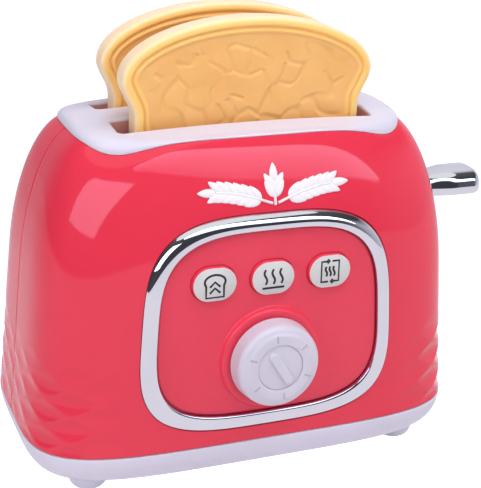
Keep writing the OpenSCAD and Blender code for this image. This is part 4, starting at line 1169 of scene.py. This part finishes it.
def buildSlice(name, side, shift, node):
    f = breadForm
    line = breadLine()
    count = len(line)
    along = np.roll(line, -1, 0) - np.roll(line, 1, 0)
    along /= np.linalg.norm(along, axis=1)[:, None]
    inward = np.stack([along[:, 1], -along[:, 0]], -1)
    spine = np.stack([np.zeros(count), np.clip(line[:, 1], f["spineLow"], f["spineHigh"])], -1)
    lastInset, face = crustRows[-1][:2]
    rim = line + inward * lastInset
    layers, tints = [], []
    for way, seed in zip((-1, 1), crumbForm["seeds"]):
        stack, shades = [], []
        for inset, half, tint in crustRows:
            flat = line + inward * inset
            stack.append(np.column_stack([flat[:, 0], np.full(count, way * half), flat[:, 1]]))
            shades.append(tint)
        for k in np.linspace(0, 1, f["faceRows"] + 1)[1:]:
            flat = rim + (spine - rim) * k
            fade = easeStep(0, crumbForm["clear"], np.hypot(*(flat - rim).T))
            lift = crumbRelief(flat[:, 0], flat[:, 1], seed + side) * fade
            stack.append(np.column_stack([flat[:, 0], way * (face + lift), flat[:, 1]]))
            shades.append(0.0)
        layers += stack[::-1] if way < 0 else stack
        tints += shades[::-1] if way < 0 else shades
    layers = np.array(layers)
    piece, across, up = addSheet(name, count, len(layers) - 1)
    putPoints(piece, layers[up, across % count])
    mark = piece.data.attributes.new("crust", "FLOAT", "POINT")
    mark.data.foreach_set("value", np.array(tints)[up])
    weld(piece, 0.1)
    smooth(piece, 60)
    place = bodyPlace @ shifted(shift, side * f["row"], f["bottom"])
    return settle(piece, place, bakedBread, node, "bread", node)


sliceFront = buildSlice("sliceFront", -1, 0.7, "bread_front")
sliceRear = buildSlice("sliceRear", 1, 1.0, "bread_rear")
print("bread:", len(sliceFront.data.polygons), len(sliceRear.data.polygons))

# Springs: wound wire
springForm = {
    "lift": {"radius": 3.9, "wire": 0.6, "turns": 9, "x": 32, "low": 14.0, "high": 66.6, "travel": 36},
    "button": {"radius": 2.5, "wire": 0.4, "turns": 4, "low": -12.0, "high": -3.8, "travel": 1.2},
    "latch": {
        "radius": 2.92, "wire": 0.4, "turns": 4, "low": 13.1, "high": 23.5, "depth": -15.2, "travel": 5.6,
    },
}
stepsPerTurn = 28


def setSpring(kind, name, place, node):
    s = springForm[kind]
    steps, start = s["turns"] * stepsPerTurn, s["low"] + s["wire"]
    rise = s["high"] - s["low"] - 2 * s["wire"]
    run = []
    for k in range(steps + 1):
        t = k / stepsPerTurn * 2 * math.pi
        run.append((s["radius"] * math.cos(t), s["radius"] * math.sin(t), start + rise * (k / steps)))
    coil = bead(name, [(run, False)], s["wire"], 3)
    smooth(coil, 60)
    settle(coil, place, bareSteel, "body", "steel", node)
    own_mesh(coil)


for side, word in ((-1, "left"), (1, "right")):
    place = bodyPlace @ shifted(side * springForm["lift"]["x"], 0, 0)
    setSpring("lift", "liftSpring" + word.title(), place, "lift_spring_" + word)
for k, word in ((-1, "left"), (0, "mid"), (1, "right")):
    place = panelPlace @ shifted(k * buttonForm["pitch"], buttonForm["v"], 0)
    setSpring("button", "buttonSpring" + word.title(), place, "button_spring_" + word)
place = knobPlace @ shifted(0, 0, springForm["latch"]["depth"]) @ rolled(90, "Y")
setSpring("latch", "latchSpring", place, "latch_spring")
print("springs wound")

# Wheat sprigs on the front shoulder: one to each side and an ear between them
wheatForm = {
    "middle": 1.5, "height": 98.6, "from": 1.0, "reach": 19.4, "rise": 4.6, "bend": 1.45, "pairs": 6,
    "bare": 0.2, "earLow": 0.6, "earTall": 7.0, "earPairs": 2, "earBare": 0.35, "grain": 6.2, "fat": 3.25,
    "taper": 0.55, "thick": 0.9, "stem": 0.95, "spread": 32, "stemOut": 0.1, "grainOut": 0.05,
    "grainOn": 0.52, "feel": 0.2,
}


def onShoulder(x, z, out):
    # point of the front skin and the directions along it
    def at(px, pz):
        depth = skinDepth(px, pz)
        return Vector((px, -depth, bowed(px, depth, np.float64(pz))))

    spot, step = at(x, z), wheatForm["feel"]
    along = (at(x + step, z) - at(x - step, z)).normalized()
    up = (at(x, z + step) - at(x, z - step)).normalized()
    off = along.cross(up).normalized()
    up = off.cross(along)
    return spot + off * out, along, up, off


def buildWheat():
    w = wheatForm
    clearSelection()
    bpy.ops.mesh.primitive_uv_sphere_add(segments=14, ring_count=10, radius=0.5)
    grain = nameIt("grain")
    spots = readPoints(grain)
    narrow = 1 - w["taper"] * (spots[:, 0] + 0.5) ** 2  # drawn out to a tip
    spots *= (w["grain"], w["fat"], w["thick"])
    spots[:, 1] *= narrow
    putPoints(grain, spots)
    ears = []  # each: points along the stem, pairs of grains, share left bare
    for side in (-1, 1):
        k = np.linspace(0, 1, 24)
        along = w["middle"] + side * (w["from"] + w["reach"] * k)
        run = list(zip(along, w["height"] + w["rise"] * np.sin(w["bend"] * k)))
        ears.append((run, w["pairs"], w["bare"]))
    run = [(w["middle"], w["height"] - w["earLow"] + w["earTall"] * k) for k in np.linspace(0, 1, 8)]
    ears.append((run, w["earPairs"], w["earBare"]))
    parts = []
    for run, pairs, start in ears:
        stem = [onShoulder(x, z, w["stemOut"])[0] for x, z in run]
        parts.append(bead("stem", [(stem, False)], w["stem"] / 2))
        run = np.array(run)
        for k in range(pairs + 1):
            at = (start + (1 - start) * k / pairs) * (len(run) - 1)
            x, z = (np.interp(at, np.arange(len(run)), run[:, j]) for j in (0, 1))
            low, high = run[max(int(at) - 1, 0)], run[min(int(at) + 1, len(run) - 1)]
            spot, along, up, off = onShoulder(x, z, w["grainOut"])
            lean = math.atan2(high[1] - low[1], high[0] - low[0])
            for way in ((0,) if k == pairs else (-1, 1)):
                turn = lean + way * math.radians(w["spread"])
                heading = along * math.cos(turn) + up * math.sin(turn)
                turnTo = Matrix((heading, off.cross(heading), off)).transposed().to_4x4()
                spotTo = Matrix.Translation(spot + heading * w["grain"] * w["grainOn"])
                parts.append(copyOf(grain, "grain", spotTo @ turnTo))
    discard(grain)
    joinUp(*parts)
    sprigs = nameIt("wheatSprigs")
    smooth(sprigs, 50)
    settle(sprigs, bodyPlace, ornamentWhite, "body", "ivory")


buildWheat()

# Nodes that keep their own shape
for finish, names in (
    (innerGrey, ("carriage", "button_guide", "knob_shaft", "release_cam", "latch_slide", "latch_guide")),
    (bareSteel, ("guide_rod_left", "guide_rod_right", "cam_screw", "panel_screws", "guide_screws")),
):
    for name in names:
        setFinish(nodes[name], finish)
print("pieces done")

# Studio: pale floor, soft lamps, and a dark curtain with glowing panels that only reflections show
floorForm = {
    "size": 8, "z": -0.0004, "colour": (0.8, 0.8, 0.81, 1), "glow": (1.0, 0.93, 1.02, 1), "share": 0.88,
    "near": 0.97, "far": 0.5, "farAt": 0.5, "seenMore": 0.72,
}


def floorFinish():
    # a little under white in mirrored light, dimmer to the rear; the matt share keeps the shadow
    f = floorForm
    material, tree, shader = newFinish("paleFloor")
    tree.nodes.remove(shader)
    matt, glow, mix, path, seen, share, place, parts, level, most = addNodes(
        tree, "BsdfDiffuse", "Emission", "MixShader", "LightPath", "Math", "Math", "TexCoord", "SeparateXYZ",
        "MapRange", "Math",
    )
    seen.operation, share.operation, most.operation = "MAXIMUM", "MULTIPLY", "MULTIPLY_ADD"
    setInputs(matt, {"Color": f["colour"]})
    setInputs(glow, {"Color": f["glow"]})
    setInputs(share, {1: f["share"]})
    setInputs(level, {"From Max": f["farAt"], "To Min": f["near"], "To Max": f["far"]})
    setInputs(most, {1: f["seenMore"]})
    wireUp(
        tree,
        (place, "Object", parts, "Vector"),
        (parts, "Y", level, "Value"),
        (path, "Is Camera Ray", most, 0),
        (level, "Result", most, 2),
        (most, "Value", glow, "Strength"),
        (path, "Is Camera Ray", seen, 0),
        (path, "Is Glossy Ray", seen, 1),
        (seen, "Value", share, 0),
        (share, "Value", mix, "Fac"),
        (matt, "BSDF", mix, 1),
        (glow, "Emission", mix, 2),
        (mix, "Shader", tree.nodes["Material Output"], "Surface"),
    )
    return material


clearSelection()
bpy.ops.mesh.primitive_plane_add(size=floorForm["size"], location=(0, 0, floorForm["z"]))
floor = nameIt("floor")
floor.data.materials.append(floorFinish())


def onlyReflected(piece, glow, tint=(0.95, 1.0, 1.3)):
    # seen in mirrored light only; each point has its own glow
    mark = piece.data.attributes.new("glow", "FLOAT_COLOR", "POINT")
    colour = np.asarray(glow, float)[:, None] * np.broadcast_to(tint, (len(glow), 3))
    mark.data.foreach_set("color", np.insert(colour, 3, 1.0, axis=1).ravel())
    material, tree, shader = newFinish(piece.name)
    level = tree.nodes.new("ShaderNodeAttribute")
    level.attribute_name = "glow"
    setInputs(shader, {"Base Color": (0, 0, 0, 1), "Emission Strength": 1.0})
    wireUp(tree, (level, "Color", shader, "Emission Color"))
    piece.data.materials.append(material)
    piece.visible_camera = piece.visible_diffuse = piece.visible_shadow = False


curtainForm = {  # radius and height of its rows; tint, and glow by bearing, of the lower and the upper two
    "tints": ((1.0, 1.0, 1.16), (1.03, 1.0, 1.06)),
    "rows": ((1.35, 0.0), (1.4, 0.5), (1.43, 0.9), (1.6, 2.8)),
    "low": (
        (-180, 0.42), (-158, 0.4), (-138, 0.15), (-120, 0.03), (32, 0.03), (52, 0.45), (85, 0.65), (120, 0.7),
        (145, 0.78), (180, 0.5),
    ),
    "high": (
        (-180, 0.6), (-160, 0.3), (-140, 0.03), (100, 0.03), (130, 0.8), (165, 0.86), (180, 0.66),
    ),
    "columns": 72,
}
curtain, across, up = addSheet("darkCurtain", curtainForm["columns"], len(curtainForm["rows"]) - 1)
bearing = -180 + 360 / curtainForm["columns"] * across
turn = np.radians(bearing)
radius, height = np.array(curtainForm["rows"])[up].T
putPoints(curtain, np.stack([radius * np.sin(turn), -radius * np.cos(turn), height], -1))
low, high = (np.interp(bearing, *zip(*curtainForm[key])) for key in ("low", "high"))
onlyReflected(curtain, np.where(up < 2, low, high), np.where(up[:, None] < 2, *curtainForm["tints"]))
panels = {  # bent soft boxes: points of the upper and lower edge in metres from the body's middle, their glow
    "leftPanel": (
        ((-0.43, -0.33, 0.63), (-0.22, -0.57, 0.53)), ((-0.73, -0.18, 0.27), (-0.48, -0.58, 0.23)), 3.6, 3.2,
    ),
    "overPanel": (
        (
            (-0.26, -0.36, 0.69), (0.0, -0.38, 0.72), (0.23, -0.43, 0.64), (0.35, -0.46, 0.56),
            (0.54, -0.49, 0.29),
        ),
        (
            (-0.24, -0.44, 0.65), (-0.03, -0.59, 0.54), (0.2, -0.64, 0.4), (0.3, -0.64, 0.33),
            (0.53, -0.52, 0.26),
        ),
        4.4, 1.5,
    ),
}
for name, (upper, lower, high, low) in panels.items():
    panel, across, up = addSheet(name, len(upper) - 1, 1)
    putPoints(panel, [Vector((lower, upper)[j][i]) + middle for i, j in zip(across, up)])
    onlyReflected(panel, np.where(up == 1, high, low))


def softBox(name, location, size, power, aim=(0, 0, 0.07)):
    data = bpy.data.lights.new(name, "AREA")
    data.shape = "RECTANGLE"
    data.size, data.size_y = size
    data.energy = power
    lamp = bpy.data.objects.new(name, data)
    scene.collection.objects.link(lamp)
    way = (Vector(aim) - Vector(location)).normalized()
    lamp.matrix_world = shifted(*location) @ way.to_track_quat("-Z", "Y").to_matrix().to_4x4()
    lamp.visible_glossy = False


lampForm = {  # place, size and power
    "overhead": ((0.18, -0.28, 0.95), (1.1, 0.4), 6.6),
    "window": ((-0.85, -0.25, 0.4), (0.3, 0.4), 2.2),
    "frontFill": ((0.3, -1.6, 0.9), (1.2, 0.8), 5.7),
}
for name, values in lampForm.items():
    softBox(name, *values)

worldForm = {"seen": (1, 1, 1, 1), "ambient": (0.97, 0.98, 1.0, 1), "ambientLevel": 0.42}
world = bpy.data.worlds.new("studio")
scene.world = world
world.use_nodes = True
tree = world.node_tree
backdrop = tree.nodes["Background"]
ambient, mixer, path, seen, more = addNodes(tree, "Background", "MixShader", "LightPath", "Math", "Math")
seen.operation = more.operation = "MAXIMUM"
setInputs(backdrop, {"Color": worldForm["seen"], "Strength": 1.0})
setInputs(ambient, {"Color": worldForm["ambient"], "Strength": worldForm["ambientLevel"]})
wireUp(
    tree,
    (path, "Is Camera Ray", seen, 0),
    (path, "Is Glossy Ray", seen, 1),
    (seen, "Value", more, 0),
    (path, "Is Transmission Ray", more, 1),
    (more, "Value", mixer, "Fac"),
    (ambient, "Background", mixer, 1),
    (backdrop, "Background", mixer, 2),
    (mixer, "Shader", tree.nodes["World Output"], "Surface"),
)

# Camera at the photograph's angle
cameraForm = {
    "azimuth": -21.6, "elevation": 22.56, "distance": 0.4562, "height": 60.0, "roll": 1.98,
    "focal": 1247.3, "frame": (481, 488), "centre": (223.85, 274.5), "sensor": 36,
}
c = cameraForm
az, el, roll = (math.radians(c[k]) for k in ("azimuth", "elevation", "roll"))
back = Vector((math.sin(az) * math.cos(el), -math.cos(az) * math.cos(el), math.sin(el)))
right = Vector((math.cos(az), math.sin(az), 0))
over = back.cross(right)
turnedRight = right * math.cos(roll) + over * math.sin(roll)
turnedUp = over * math.cos(roll) - right * math.sin(roll)
target = bodyPlace @ Vector((0, 0, c["height"]))
lens = bpy.data.cameras.new("camera")
lens.sensor_fit = "HORIZONTAL"
lens.sensor_width = c["sensor"]
lens.lens = c["focal"] / c["frame"][0] * c["sensor"]
lens.shift_x = (c["frame"][0] / 2 - c["centre"][0]) / c["frame"][0]
lens.shift_y = (c["centre"][1] - c["frame"][1] / 2) / c["frame"][0]
lens.clip_start = 0.01
camera = bpy.data.objects.new("camera", lens)
scene.collection.objects.link(camera)
facing = Matrix((turnedRight, turnedUp, back)).transposed().to_4x4()
camera.matrix_world = Matrix.Translation(target + back * c["distance"]) @ facing
scene.camera = camera
scene.view_settings.view_transform = "Standard"
print("studio set")
